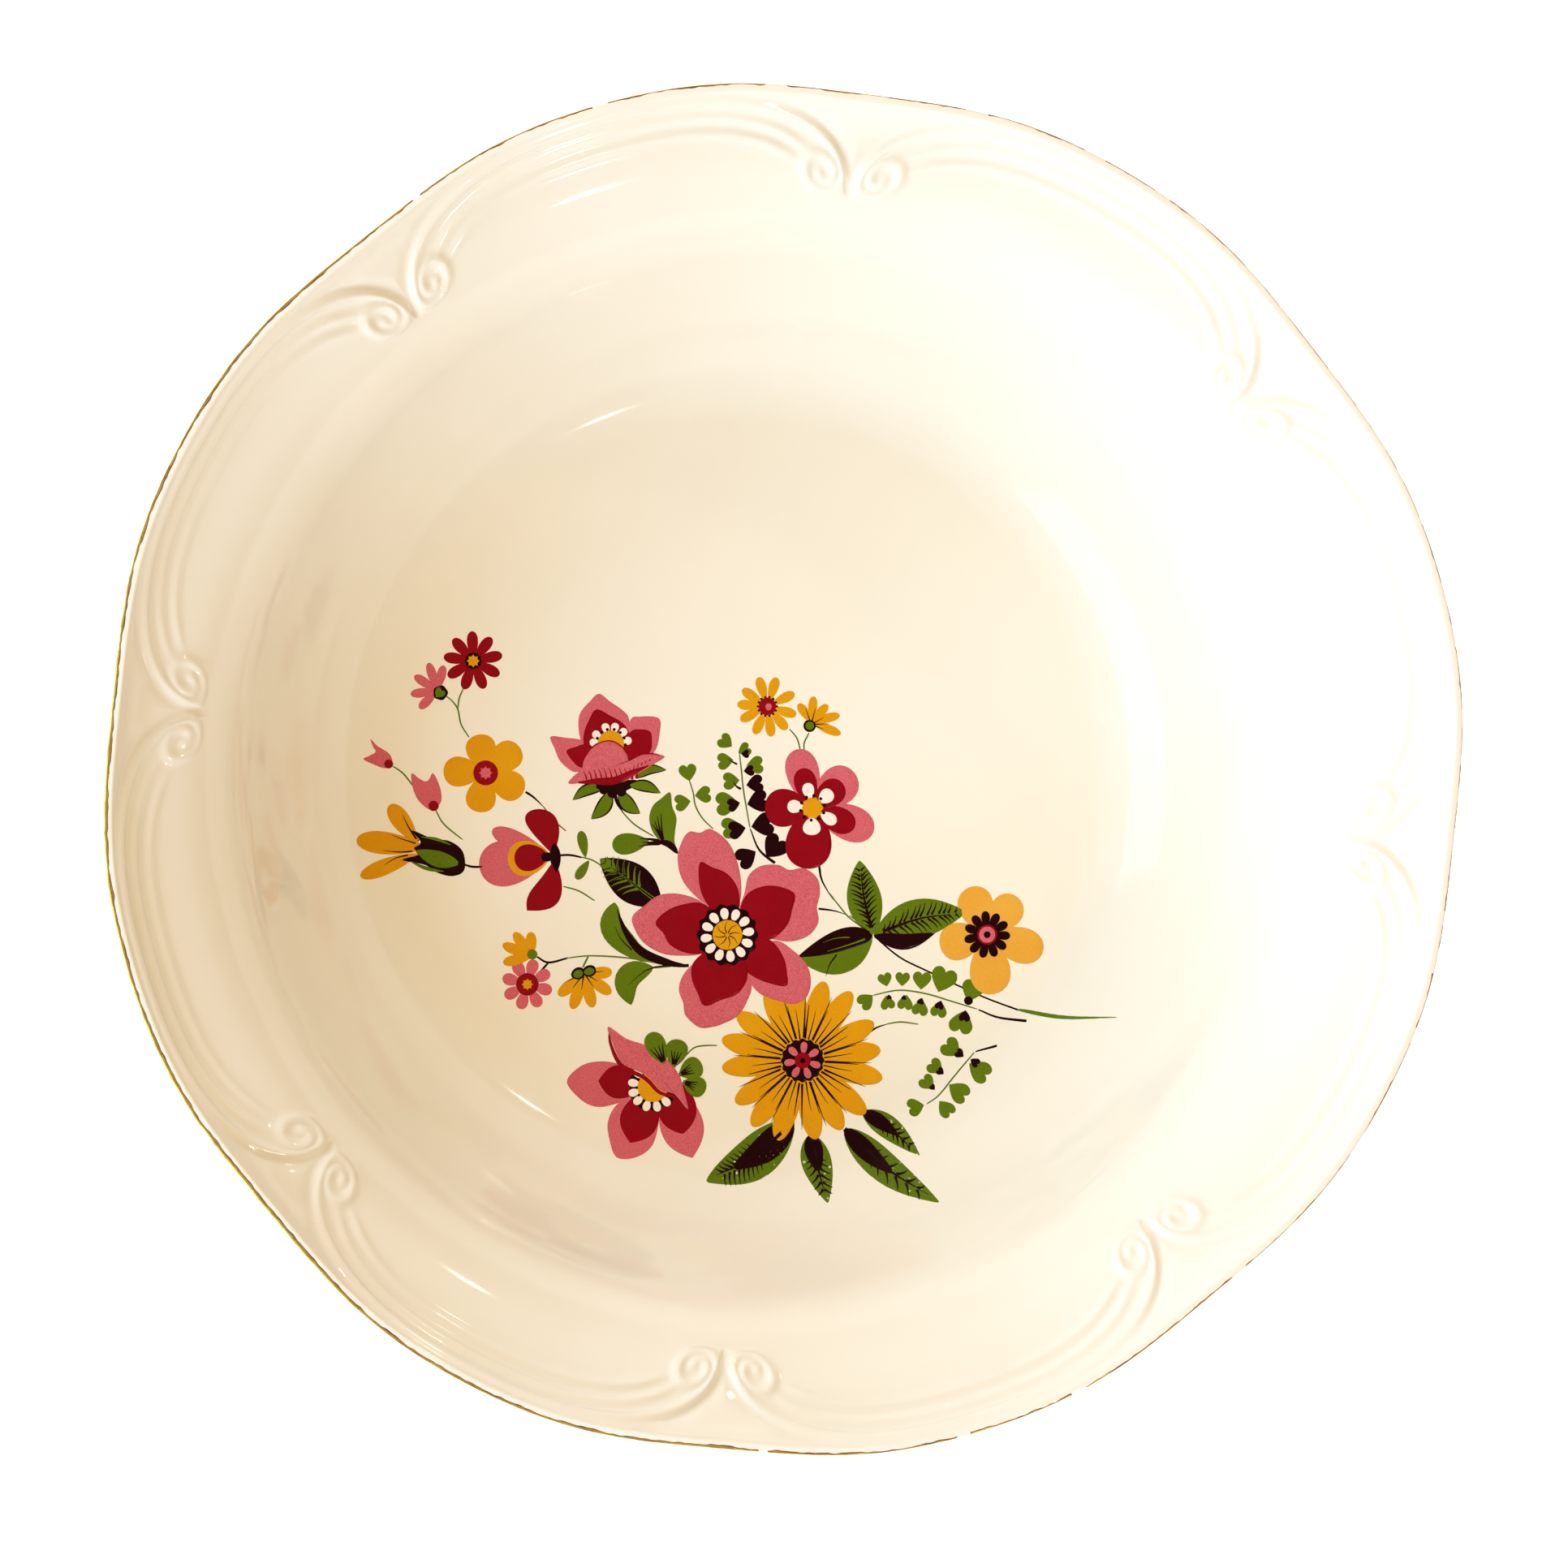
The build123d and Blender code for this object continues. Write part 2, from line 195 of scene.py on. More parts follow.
def crest_section():
    """The lip's rounded crest, from the outside edge to the inside edge."""
    outer = RIM_RADIUS - INSET - LIP_ROUND
    inner = RIM_RADIUS - LIP_WIDTH + LIP_ROUND
    level = LIP_TOP - LIP_ROUND
    turns = np.radians([20, 45, 70, 90])
    outside = [(outer + LIP_ROUND * math.cos(t), level + LIP_ROUND * math.sin(t)) for t in turns]
    inside = [(inner - LIP_ROUND * math.cos(t), level + LIP_ROUND * math.sin(t)) for t in turns[::-1]]
    return np.array(outside + inside)


def surface(radius):
    """Height and outward slope of the inside face at plan distance radius, for the well and lower wall."""
    radius = np.asarray(radius, float)
    cove_end = on_arc(COVE_CENTRE, COVE_RADIUS, COVE_ANGLE)[0]
    cove = np.clip((radius - COVE_CENTRE[0]) / COVE_RADIUS, 0, math.sin(math.radians(COVE_ANGLE)))
    wall = np.clip((radius - WALL_CENTRE[0]) / WALL_RADIUS, 0, 0.99)
    sine = np.where(radius < cove_end, cove, wall)
    centre_z = np.where(radius < cove_end, COVE_CENTRE[1], WALL_CENTRE[1])
    reach = np.where(radius < cove_end, COVE_RADIUS, WALL_RADIUS)
    return centre_z - reach * np.sqrt(1 - sine ** 2), np.arcsin(sine)


# ------------------------------------------------------------------------------
# Scroll relief


def rib(reach, depth, start, end_turn, count=160):
    """One rib from a lobe's middle towards its notch: along the rim, and down from the lip."""
    turn = end_turn * np.linspace(0, 1, count) ** 2
    return np.column_stack([reach * np.sqrt(np.sin(turn)), start + depth * (1 - np.cos(turn))])


def scroll():
    """The curl in which the outer rib ends."""
    turn = np.linspace(0, SCROLL_TURN, 220)
    radius = SCROLL_RADIUS - SCROLL_SHRINK * (turn / SCROLL_TURN) ** 1.6
    return np.column_stack([
        SCROLL_CENTRE[0] + radius * np.cos(turn),
        SCROLL_CENTRE[1] + radius * np.sin(turn),
    ])


def bead(grid, line, height, width, taper=0.0):
    """The height that a rounded bead along a line adds over a grid of points; taper shortens its end."""
    gap = np.linalg.norm(grid[:, None, :] - line[None, :, :], axis=2)
    nearest = gap.argmin(axis=1)
    along = lengths(line)
    left = (along[-1] - along[nearest]) / max(taper, 1e-6)
    fade = np.clip(left + 0.15, 0.0, 1.0) if taper else 1.0
    return height * fade * np.exp(-((gap.min(axis=1) / width) ** 2))


def relief_heights(along, down):
    """How far the relief stands out at each distance along the rim and down from the lip."""
    grid = np.column_stack([along.ravel(), down.ravel()])
    outer = rib(*OUTER_RIB)
    curl = scroll()
    whole = np.vstack([outer, curl[1:]])
    high = bead(grid, whole, RIB_HEIGHT, RIB_WIDTH)
    high = np.maximum(high, bead(grid, curl[-1:], RIB_HEIGHT * 0.9, RIB_WIDTH * 1.1))
    low = bead(grid, rib(*SECOND_RIB), SMALL_RIB_HEIGHT, SMALL_RIB_WIDTH, SMALL_RIB_FADE)
    low += bead(grid, rib(*THIRD_RIB), SMALL_RIB_HEIGHT, SMALL_RIB_WIDTH, SMALL_RIB_FADE)
    edge = np.interp(grid[:, 0], outer[:, 0], outer[:, 1], right=RELIEF_DEPTH)
    outside = np.clip(edge - grid[:, 1], 0, None)
    gap = np.linalg.norm(grid[:, None, :] - whole[None, ::4, :], axis=2).min(axis=1)
    near = np.exp(-((gap - HOLLOW_OFFSET) / HOLLOW_WIDTH) ** 2)
    onset = np.clip((outside - 0.3) / 1.7, 0, 1)
    onset = onset * onset * (3 - 2 * onset)
    hollow = HOLLOW * near * onset * np.clip(grid[:, 1] / 3.0, 0, 1)
    ends = np.clip((RELIEF_DEPTH - grid[:, 1]) / 1.5, 0, 1) * np.clip(grid[:, 1] / 0.6, 0, 1)
    return ((high + low - hollow) * ends).reshape(along.shape)


# ------------------------------------------------------------------------------
# Meshes


def mesh_object(name, points, faces, materials):
    """A mesh piece in the bowl's frame, from points in millimetres. It rides on the bowl."""
    mesh = bpy.data.meshes.new(name)
    mesh.from_pydata((np.asarray(points) * MM).tolist(), [], faces)
    mesh.validate()
    mesh.polygons.foreach_set("use_smooth", [True] * len(mesh.polygons))
    for material in materials:
        mesh.materials.append(material)
    piece = bpy.data.objects.new(name, mesh)
    bpy.context.scene.collection.objects.link(piece)
    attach(piece, "root")
    return piece


def lobe_wave(angle):
    """How far the lip's outline leaves a circle at this angle, as a share of its radius."""
    turn = LOBES * angle + math.pi
    return LOBE_SWELL * np.cos(turn) - NOTCH_PINCH * np.cos(2 * turn)


def lobe_share(height):
    """How much of the lobes' wave the wall has at this height."""
    return np.clip((height - JOIN_Z) / (LIP_TOP - JOIN_Z), 0, 1) ** LOBE_RISE


def lobed(section, angles):
    """Rings of points for a section of (radius, height) rows, lobed above the join."""
    share = lobe_share(section[:, 1])
    radius = section[:, 0][:, None] * (1 + share[:, None] * lobe_wave(angles)[None, :])
    height = np.broadcast_to(section[:, 1][:, None], radius.shape)
    return np.stack([radius * np.cos(angles), radius * np.sin(angles), height], axis=2)


def column_angles():
    """The columns' angles, each one's step from a lobe's middle, and the angles of those steps.

    The columns are closer together by the notches, where the scrolls are.
    """
    part = np.arange(HALF_LOBE_COLUMNS + 1) / HALF_LOBE_COLUMNS
    half = (1.6 * part - 0.6 * part ** 2) * math.pi / LOBES
    one_lobe = np.concatenate([-half[:0:-1], half[:-1]])
    steps = np.concatenate([np.arange(HALF_LOBE_COLUMNS, 0, -1), np.arange(HALF_LOBE_COLUMNS)])
    middles = (np.arange(LOBES) + 0.5) * 2 * math.pi / LOBES
    return (middles[:, None] + one_lobe).ravel(), np.tile(steps, LOBES), half


def band_faces(rings, columns, start):
    """Quads between rings of points that are stored one ring after another from index start."""
    faces = []
    for row in range(rings - 1):
        low = start + row * columns
        high = low + columns
        faces += [
            (low + c, low + (c + 1) % columns, high + (c + 1) % columns, high + c) for c in range(columns)
        ]
    return faces


def fan_faces(coarse, fine, columns, flip):
    """Faces from a coarse ring to a fine one that has COARSE_STEP times as many points."""
    faces = []
    total = columns * COARSE_STEP
    for c in range(columns):
        near = [coarse + c, coarse + (c + 1) % columns]
        far = [fine + (c * COARSE_STEP + step) % total for step in range(COARSE_STEP, -1, -1)]
        face = near + far
        faces.append(tuple(face[::-1] if flip else face))
    return faces


def cap_faces(ring, columns, middle, flip):
    """Triangles from a ring to one middle point."""
    faces = [(ring + c, ring + (c + 1) % columns, middle) for c in range(columns)]
    return [face[::-1] for face in faces] if flip else faces


def body_mesh(glaze):
    """The porcelain body: lobed lip with its scroll relief, round wall, flat well and underside."""
    fine_angles, steps, half = column_angles()
    coarse_angles = fine_angles[::COARSE_STEP]
    fine_count, coarse_count = len(fine_angles), len(coarse_angles)
    inside = inside_section()
    depth = np.linspace(0, RELIEF_DEPTH, RELIEF_ROWS)
    relief = at_lengths(inside, depth)
    ahead = at_lengths(inside, depth + 0.05) - at_lengths(inside, np.maximum(depth - 0.05, 0))
    ahead /= np.linalg.norm(ahead, axis=1)[:, None]
    normal = np.column_stack([ahead[:, 1], -ahead[:, 0]])

    along = relief[:, 0][:, None] * half[None, :]
    down = np.broadcast_to(depth[:, None], along.shape)
    heights = relief_heights(along, down)[:, steps]
    uneven = 1 + 0.07 * np.sin(3 * fine_angles + 0.6) + 0.05 * np.sin(7 * fine_angles + 2.0)
    heights = heights * uneven[None, :]

    rows = lobed(relief, fine_angles)
    outward = np.stack([np.cos(fine_angles), np.sin(fine_angles)], axis=1)
    rows[:, :, :2] += (heights * normal[:, 0][:, None])[:, :, None] * outward[None, :, :]
    rows[:, :, 2] += heights * normal[:, 1][:, None]

    total = lengths(inside)[-1]
    cove_start = total - FLOOR_RADIUS - COVE_RADIUS * math.radians(COVE_ANGLE)
    well_steps = np.concatenate([
        np.linspace(RELIEF_DEPTH + 0.8, cove_start - 1.5, WALL_ROWS),
        np.linspace(cove_start, total - FLOOR_RADIUS, COVE_ROWS),
        total - np.array(FLOOR_RINGS),
    ])
    well = lobed(at_lengths(inside, well_steps), coarse_angles)
    under = lobed(outside_section(), coarse_angles)
    crest = lobed(crest_section(), fine_angles)

    blocks = [under, np.concatenate([crest, rows]), well]
    starts = np.cumsum([0] + [block.shape[0] * block.shape[1] for block in blocks])
    points = np.vstack(
        [block.reshape(-1, 3) for block in blocks] + [[(0, 0, FOOT_HEIGHT), (0, 0, FLOOR_TOP)]]
    )
    faces = band_faces(len(under), coarse_count, 0)
    faces += fan_faces(starts[1] - coarse_count, starts[1], coarse_count, False)
    faces += band_faces(len(blocks[1]), fine_count, starts[1])
    faces += fan_faces(starts[2], starts[2] - fine_count, coarse_count, True)
    faces += band_faces(len(well), coarse_count, starts[2])
    faces += cap_faces(0, coarse_count, starts[3], True)
    faces += cap_faces(starts[3] - coarse_count, coarse_count, starts[3] + 1, False)
    body = mesh_object("bowl_body.relief", points, faces, [glaze])
    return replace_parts(body, "bowl_body")


def turned_band(name, section, material, count=384):
    """An open band turned about the bowl's axis."""
    angles = np.linspace(0, 2 * math.pi, count, endpoint=False)
    section = np.array(section, float)
    rings = section[:, 0][:, None, None] * np.stack([np.cos(angles), np.sin(angles)], axis=1)[None]
    heights = np.broadcast_to(section[:, 1][:, None, None], rings.shape[:2] + (1,))
    points = np.concatenate([rings, heights], axis=2).reshape(-1, 3)
    return mesh_object(name, points, band_faces(len(section), count, 0), [material])


def foot(glaze, bare):
    """The turned foot: glazed sides, and a tread that is wiped bare."""
    tread_in, tread_out = FOOT_TREAD
    tread = curve([(tread_in - 0.9, 0.55), (tread_in - 0.3, 0.1), (tread_in, 0.0), (tread_out, 0.0),
                   (tread_out + 0.4, 0.1), (tread_out + 1.0, 0.75)], 24)
    tread = np.maximum(tread, 0.0)  # the smooth curve would dip under the table
    inner = curve([(FOOT_INNER, FOOT_HEIGHT + 0.4), (FOOT_INNER + 0.25, 3.6), (FOOT_INNER + 1.0, 1.2),
                   (tread_in - 0.8, 0.5)], 16)
    outer = curve([(tread_out + 0.9, 0.7), (FOOT_OUTER - 1.7, 1.5), (FOOT_OUTER - 0.5, 3.6),
                   (FOOT_OUTER, FOOT_HEIGHT + 0.4)], 16)
    ring = turned_band("foot_ring.tread", tread, bare)
    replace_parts(ring, "foot_ring")
    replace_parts(turned_band("foot_ring.inner_side", inner, glaze), "foot_ring")
    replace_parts(turned_band("foot_ring.outer_side", outer, glaze), "foot_ring")


def ripple(angles, seed, waves):
    """A smooth uneven value round the rim, about -1 to 1."""
    pick = np.random.default_rng(seed)
    value = sum(pick.uniform(0.4, 1.0) * np.sin(n * angles + pick.uniform(0, 2 * math.pi)) for n in waves)
    return value / (0.6 * len(waves) ** 0.5)


def rim_line(name, inner, outer, lift, material, angles):
    """A painted line on the lip's crest, between two distances from its outside edge at each angle."""
    crest = np.vstack([[(RIM_RADIUS - INSET, LIP_TOP - 2 * LIP_ROUND)], crest_section()])
    rows = 7
    shares = np.linspace(0, 1, rows)
    height = np.where((shares == 0) | (shares == 1), GOLD_EDGE, lift)
    along = lengths(crest)
    points = []
    for share, raised in zip(shares, height):
        where = outer + (inner - outer) * share
        radius = np.interp(where, along, crest[:, 0])
        level = np.interp(where, along, crest[:, 1])
        lean = np.clip((level - LIP_TOP + LIP_ROUND) / LIP_ROUND, 0, 1)
        flat = np.sqrt(np.clip(1 - lean ** 2, 0, 1)) * (radius > RIM_RADIUS - LIP_WIDTH / 2)
        radius = (radius + 0.5 * raised * flat) * (1 + lobe_share(level) * lobe_wave(angles))
        points.append(np.column_stack([
            radius * np.cos(angles), radius * np.sin(angles), level + raised * lean]))
    return mesh_object(name, np.vstack(points), band_faces(rows, len(angles), 0), [material])


def gilding(gold, stain):
    """The gilt line on the lip, unevenly worn, and narrowed and broken toward the side away from the light
    as painted shade, and the brown stain along its inner edge.
    """
    angles = np.linspace(0, 2 * math.pi, RIM_POINTS, endpoint=False)
    # painted shade: 0 on the lit side and 1 on the far side; the gold gets narrower and more broken with it
    shaded_side = 0.5 - 0.5 * np.cos(angles - math.radians(GOLD_LIT_HEADING + PRINT_TURN))
    uneven = ripple(angles, 3, (5, 9, 17, 31, 63, 97))
    fine = ripple(angles, 8, (113, 179, 257, 391))
    width = 1.15 - 0.6 * shaded_side ** 0.7 + 0.07 * uneven + 0.03 * fine
    gap = ripple(angles, 12, (23, 41, 67, 103)) > 1.9 - 1.5 * shaded_side
    outer = np.full_like(angles, 0.25)
    inner = outer + np.where(gap, 0.06, np.clip(width, 0.12, 1.35))
    line = rim_line("gilt_rim_line.gold", inner, outer, GOLD_LIFT, gold, angles)
    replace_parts(line, "gilt_rim_line")
    brown = np.clip(0.16 + 0.07 * ripple(angles, 21, (37, 59, 83, 131)) + 0.03 * fine, 0.03, 0.4)
    stained = rim_line("gilt_rim_line.stain", inner + brown * 0.8, inner - 0.08, STAIN_LIFT, stain, angles)
    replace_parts(stained, "gilt_rim_line")


# ------------------------------------------------------------------------------
# Flat shapes of the print. Each is its points, the share of its layer's height at each, and its faces.


def unit(vector):
    """The same direction with length 1."""
    return vector / max(np.linalg.norm(vector), 1e-9)


def patch(outline, middle=None):
    """A filled shape whose whole outline can be seen from its middle."""
    outline = np.asarray(outline, float)
    middle = outline.mean(axis=0) if middle is None else np.array(middle, float)
    size = np.linalg.norm(outline - middle, axis=1).mean()
    rings = max(3, round(size / ROW_STEP))
    scales = [1.0, 1 - min(BEVEL / size, 0.3), *np.linspace(0.85, 0.1, rings)]
    count = len(outline)
    points = np.vstack([middle + (outline - middle) * scale for scale in scales] + [middle])
    lift = np.ones(len(points))
    lift[:count] = EDGE_DROP
    faces = band_faces(len(scales), count, 0) + cap_faces(
        (len(scales) - 1) * count, count, len(points) - 1, False,
    )
    return points, lift, faces


def petal(base, tip, width, point=0.0, waist=0.3, bend=0.0):
    """A petal from base to tip. point sharpens the tip, waist widens the base, and bend curves it."""
    base, tip = np.array(base, float), np.array(tip, float)
    ahead = tip - base
    side = np.array([-ahead[1], ahead[0]]) / np.linalg.norm(ahead)
    turn = np.linspace(0, 2 * math.pi, 44, endpoint=False)
    along = 0.5 + 0.5 * np.cos(turn)
    sine = np.sign(np.sin(turn)) * np.abs(np.sin(turn)) ** (1 + point * along ** 2)
    across = 0.62 * width * sine * (waist + (1 - waist) * along ** 0.6)
    across = across + bend * np.linalg.norm(ahead) * 4 * along * (1 - along)
    outline = base + along[:, None] * ahead + across[:, None] * side
    middle = base + 0.55 * ahead + bend * np.linalg.norm(ahead) * 4 * 0.55 * 0.45 * side
    return patch(outline, middle)


def leaf(base, tip, width, bend=0.0):
    """A leaf that is pointed at both ends."""
    return strip(
        [base, bent(base, tip, bend), tip], lambda t: 0.5 * width * np.sin(math.pi * t ** 0.9) ** 0.85, 18,
    )


def bent(base, tip, bend):
    """The middle point between two others, moved to one side by a share of their distance."""
    base, tip = np.array(base, float), np.array(tip, float)
    ahead = tip - base
    return (base + tip) / 2 + bend * np.array([-ahead[1], ahead[0]])


def strip(spine, half_width, count=14):
    """A band along a smooth line; half_width gives half its width for shares 0 to 1 of its length."""
    line = curve(spine, 80)
    share = np.linspace(0, 1, count)
    line = at_lengths(line, share * lengths(line)[-1])
    ahead = np.gradient(line, axis=0)
    ahead /= np.linalg.norm(ahead, axis=1)[:, None]
    side = np.column_stack([-ahead[:, 1], ahead[:, 0]])
    half = np.maximum(half_width(share), 0.02)
    inset = np.maximum(1 - BEVEL / half, 0.6)
    inner = np.linspace(-1, 1, 2 * max(1, round(half.max() / ROW_STEP)) + 1)
    rows = [-half, *[half * inset * across for across in inner], half]
    points = np.vstack([line + side * row[:, None] for row in rows])
    lift = np.ones((len(rows), count))
    lift[[0, -1], :] = EDGE_DROP
    lift[:, [0, -1]] = EDGE_DROP
    faces = [
        (r * count + c, r * count + c + 1, (r + 1) * count + c + 1, (r + 1) * count + c)
        for r in range(len(rows) - 1) for c in range(count - 1)
    ]
    return points, lift.ravel(), faces


def stem(*points, width=LINE):
    """A thin stem of even width."""
    return strip(points, lambda t: 0.5 * width * (0.75 + 0.25 * np.sin(math.pi * t)), 6 * len(points))


def stroke(*points, width=0.5):
    """A brush stroke that thins out towards its end."""
    return strip(points, lambda t: 0.5 * width * (1 - t) ** 0.7, 8)


def disc(centre, radius, bumps=0, depth=0.0):
    """A round dot, with bumps round its edge if any are asked for."""
    turn = np.linspace(0, 2 * math.pi, max(28, bumps * 8), endpoint=False)
    reach = radius * (1 + depth * np.cos(bumps * turn))
    return patch(np.array(centre) + np.column_stack([reach * np.cos(turn), reach * np.sin(turn)]), centre)


def star(centre, radius, points):
    """A small star with short blunt points."""
    turn = np.linspace(0, 2 * math.pi, points * 4, endpoint=False)
    reach = radius * np.where(np.arange(points * 4) % 4 == 0, 1.0, 0.74)
    return patch(np.array(centre) + np.column_stack([reach * np.cos(turn), reach * np.sin(turn)]), centre)


def ring_line(centre, radius, width):
    """A thin circle."""
    turn = np.linspace(0, 2 * math.pi, 40)
    line = np.array(centre) + radius * np.column_stack([np.cos(turn), np.sin(turn)])
    return strip(line, lambda t: np.full_like(t, width / 2), 40)


def heart(middle, toward, size):
    """A heart-shaped leaflet of this length about its middle, with its point toward a place."""
    middle = np.array(middle, float)
    ahead = size * unit(middle - np.array(toward, float))
    side = np.array([-ahead[1], ahead[0]])
    half = curve([(0, 0), (0.3, 0.27), (0.52, 0.6), (0.47, 0.88), (0.27, 1.0), (0.09, 0.94), (0, 0.82)], 16)
    outline = np.vstack([half, (half * (-1, 1))[-2:0:-1]])
    outline[:, 1] -= 0.52
    return patch(middle + outline[:, :1] * side + outline[:, 1:] * ahead, middle)


def hearts(toward_stem, *places):
    """Hearts as (right, up, size), each with its point toward the nearest place on a stem."""
    line = curve(toward_stem, 60)
    made = []
    for right, up, size in places:
        aim = line[np.linalg.norm(line - (right, up), axis=1).argmin()]
        made.append(heart((right, up), aim, size))
    return made


def drawn(*points, middle=None):
    """A filled shape with a smooth outline through the given points."""
    return patch(curve(points, 8 * len(points), closed=True), middle)


def polar(centre, radius, degrees):
    """The point at this distance and heading from a centre."""
    angle = math.radians(degrees)
    return (centre[0] + radius * math.cos(angle), centre[1] + radius * math.sin(angle))


def around(centre, inner, outer, headings, width, **form):
    """Petals at these headings about a centre, from one radius to another."""
    return [petal(polar(centre, inner, h), polar(centre, outer, h), width, **form) for h in headings]


def rosette(centre, inner, outer, count, width, first=90.0, **form):
    """Evenly spaced petals all round a centre."""
    return around(centre, inner, outer, [first + 360 * n / count for n in range(count)], width, **form)


def petals(base, *sizes, **form):
    """Petals from one place, each given by its tip and width."""
    return [petal(base, tip, width, **form) for tip, width in sizes]


def dots(centre, radius, count, size, first=0.0):
    """A ring of small dots."""
    return [disc(polar(centre, radius, first + 360 * number / count), size) for number in range(count)]


def spray(base, tips, width, **form):
    """Petals that fan out from one point."""
    return [petal(base, tip, width, **form) for tip in tips]


def outlined(base, tip, width, bend=0.0):
    """A leaf and the wider leaf under it that shows as its outline."""
    return leaf(base, tip, width, bend), leaf(base, tip, width + 0.55, bend)


def veins(base, tip, width, count, first=0.1, last=0.85, thick=0.42, sides=(-1, 1), bend=0.0):
    """The midrib of a leaf, and strokes that leave it towards the tip."""
    base, tip = np.array(base, float), np.array(tip, float)
    middle = bent(base, tip, bend)
    midrib = curve([base, middle, tip], 41)
    ahead = unit(tip - base)
    side = np.array([-ahead[1], ahead[0]])
    strokes = [stroke(base, middle, base + (tip - base) * 0.93, width=thick * 1.3)]
    for number in range(count):
        share = first + (last - first) * number / max(count - 1, 1)
        start = midrib[int(share * 40)]
        reach = 0.5 * width * math.sin(math.pi * share ** 0.9) ** 0.85
        for sign in sides:
            end = start + sign * side * reach * 0.82 + ahead * reach * 0.55
            strokes.append(
                stroke(start, start + (end - start) * 0.5 + ahead * 0.08 * reach, end, width=thick)
            )
    return strokes


# ------------------------------------------------------------------------------
# Motifs of the print: a CAD film's patches as (colour, layer, shapes). Places are millimetres on plan.

MAIN_FLOWER = (-3.4, -32.4)
WINDFLOWER = (14.0, -6.6)
YELLOW_WINDFLOWER = (-52.5, 0.5)
ORANGE_WINDFLOWER = (50.2, -32.6)
YELLOW_DAISY = (4.7, 14.0)
MARGUERITE = (12.1, -58.1)
DARK_DAISY = (-55.0, 23.0)
PINK_DAISY = (-44.1, -42.2)
LEAF_NODE = (26.6, -32.6)


def dark_daisy():
    return [
        ("red", 1, rosette(DARK_DAISY, 0.6, 6.0, 9, 2.3, 92) + [disc(DARK_DAISY, 2.1)]),
        ("dark", 2, [disc(DARK_DAISY, 1.75, 12, 0.06)]),
        ("yellow", 3, [star(DARK_DAISY, 1.45, 8)]),
    ]


def pink_half_daisy():
    calyx = (-61.6, 16.6)
    tips = [(-64.0, 22.6), (-60.9, 22.1), (-66.8, 20.0), (-67.6, 16.3), (-65.8, 13.4)]
    return [
        ("pink", 1, spray((-62.2, 17.0), tips, 1.9)),
        ("green", 0, [stem((-60.5, 16.0), (-59.2, 14.9), (-58.1, 13.3), (-57.4, 10.2), (-55.8, 7.6)),
                      stem((-56.9, 17.6), (-57.8, 15.5), (-58.1, 13.3))]),
        ("dark", 2, [disc(calyx, 1.5, 5, 0.05)]),
        ("green", 3, [heart((-61.8, 16.5), (-62.9, 15.2), 2.2)]),
    ]


def yellow_windflower():
    tips = [(-54.0, 8.2), (-45.7, 5.8), (-44.9, -3.5), (-54.0, -7.4), (-61.0, 0.9)]
    return [
        ("yellow", 1, spray(YELLOW_WINDFLOWER, tips, 6.3, waist=0.2)),
        ("red", 2, [disc(YELLOW_WINDFLOWER, 2.6)]),
        ("pink", 3, [star(YELLOW_WINDFLOWER, 1.5, 8)]),
        ("dark", 0, [stroke((-44.6, -3.2), (-42.6, -4.6), (-40.2, -7.0), width=0.6)]),
        ("green", 0, [stem((-40.9, -6.2), (-38.8, -9.0), (-36.2, -11.3))]),
    ]


def tulip_buds():
    return [
        ("pink", 1, [
            drawn(
                (-75.6, 7.3), (-74.2, 5.9), (-71.9, 4.4), (-71.2, 2.5), (-72.6, 1.4), (-74.8, 2.1),
                (-77.0, 3.2), (-75.9, 3.9), (-74.6, 4.7), (-75.1, 5.8), middle=(-73.0, 3.4),
            ),
            drawn(
                (-67.4, 0.4), (-67.2, -2.4), (-65.9, -5.2), (-63.4, -7.0), (-61.5, -5.4), (-61.6, -2.6),
                (-63.0, 0.4), (-63.9, -0.8), (-64.7, -1.2), (-66.0, -0.5), middle=(-64.0, -3.8),
            ),
        ]),
        ("red", 2, [disc((-72.0, 2.3), 0.95), disc((-63.0, -6.1), 1.1)]),
        ("green", 0, [
            stem((-71.2, 1.9), (-69.0, 0.3), (-66.6, -2.8)),
            stem((-62.6, -6.9), (-60.9, -9.8), (-57.1, -13.0)),
        ]),
    ]


def trumpet_flower():
    calyx = drawn(
        (-56.6, -17.8), (-57.3, -15.0), (-59.8, -13.2), (-63.2, -12.7), (-67.4, -11.0), (-65.6, -13.4),
        (-67.0, -14.6), (-66.0, -15.9), (-69.4, -17.0), (-64.8, -18.0), (-62.2, -19.6), (-59.4, -20.3),
        (-57.2, -19.6), middle=(-61.6, -16.5),
    )
    return [
        ("yellow", 1, [
            petal((-66.2, -13.6), (-71.8, -5.9), 3.8), petal((-64.5, -14.6), (-78.4, -12.9), 4.6),
            petal((-66.0, -15.8), (-77.6, -20.2), 3.3),
        ]),
        ("dark", 2, [
            calyx, stroke((-66.0, -13.4), (-68.0, -10.4), (-69.5, -7.2), width=0.6),
            stroke((-65.8, -13.9), (-69.0, -12.9), (-72.1, -11.7), width=0.5),
            stroke((-66.4, -15.2), (-70.0, -15.4), (-73.9, -15.0), width=0.5),
            stroke((-67.4, -15.9), (-70.5, -16.6), (-73.4, -18.3), width=0.5),
            stem((-57.0, -17.9), (-55.2, -18.4), (-53.0, -18.4), width=0.5),
        ]),
        ("green", 3, [
            leaf((-57.6, -17.8), (-66.8, -15.0), 3.4, 0.04),
            leaf((-59.2, -14.1), (-65.8, -12.3), 0.7, -0.05),
            leaf((-60.6, -19.4), (-68.0, -17.1), 0.8, 0.06),
        ]),
    ]


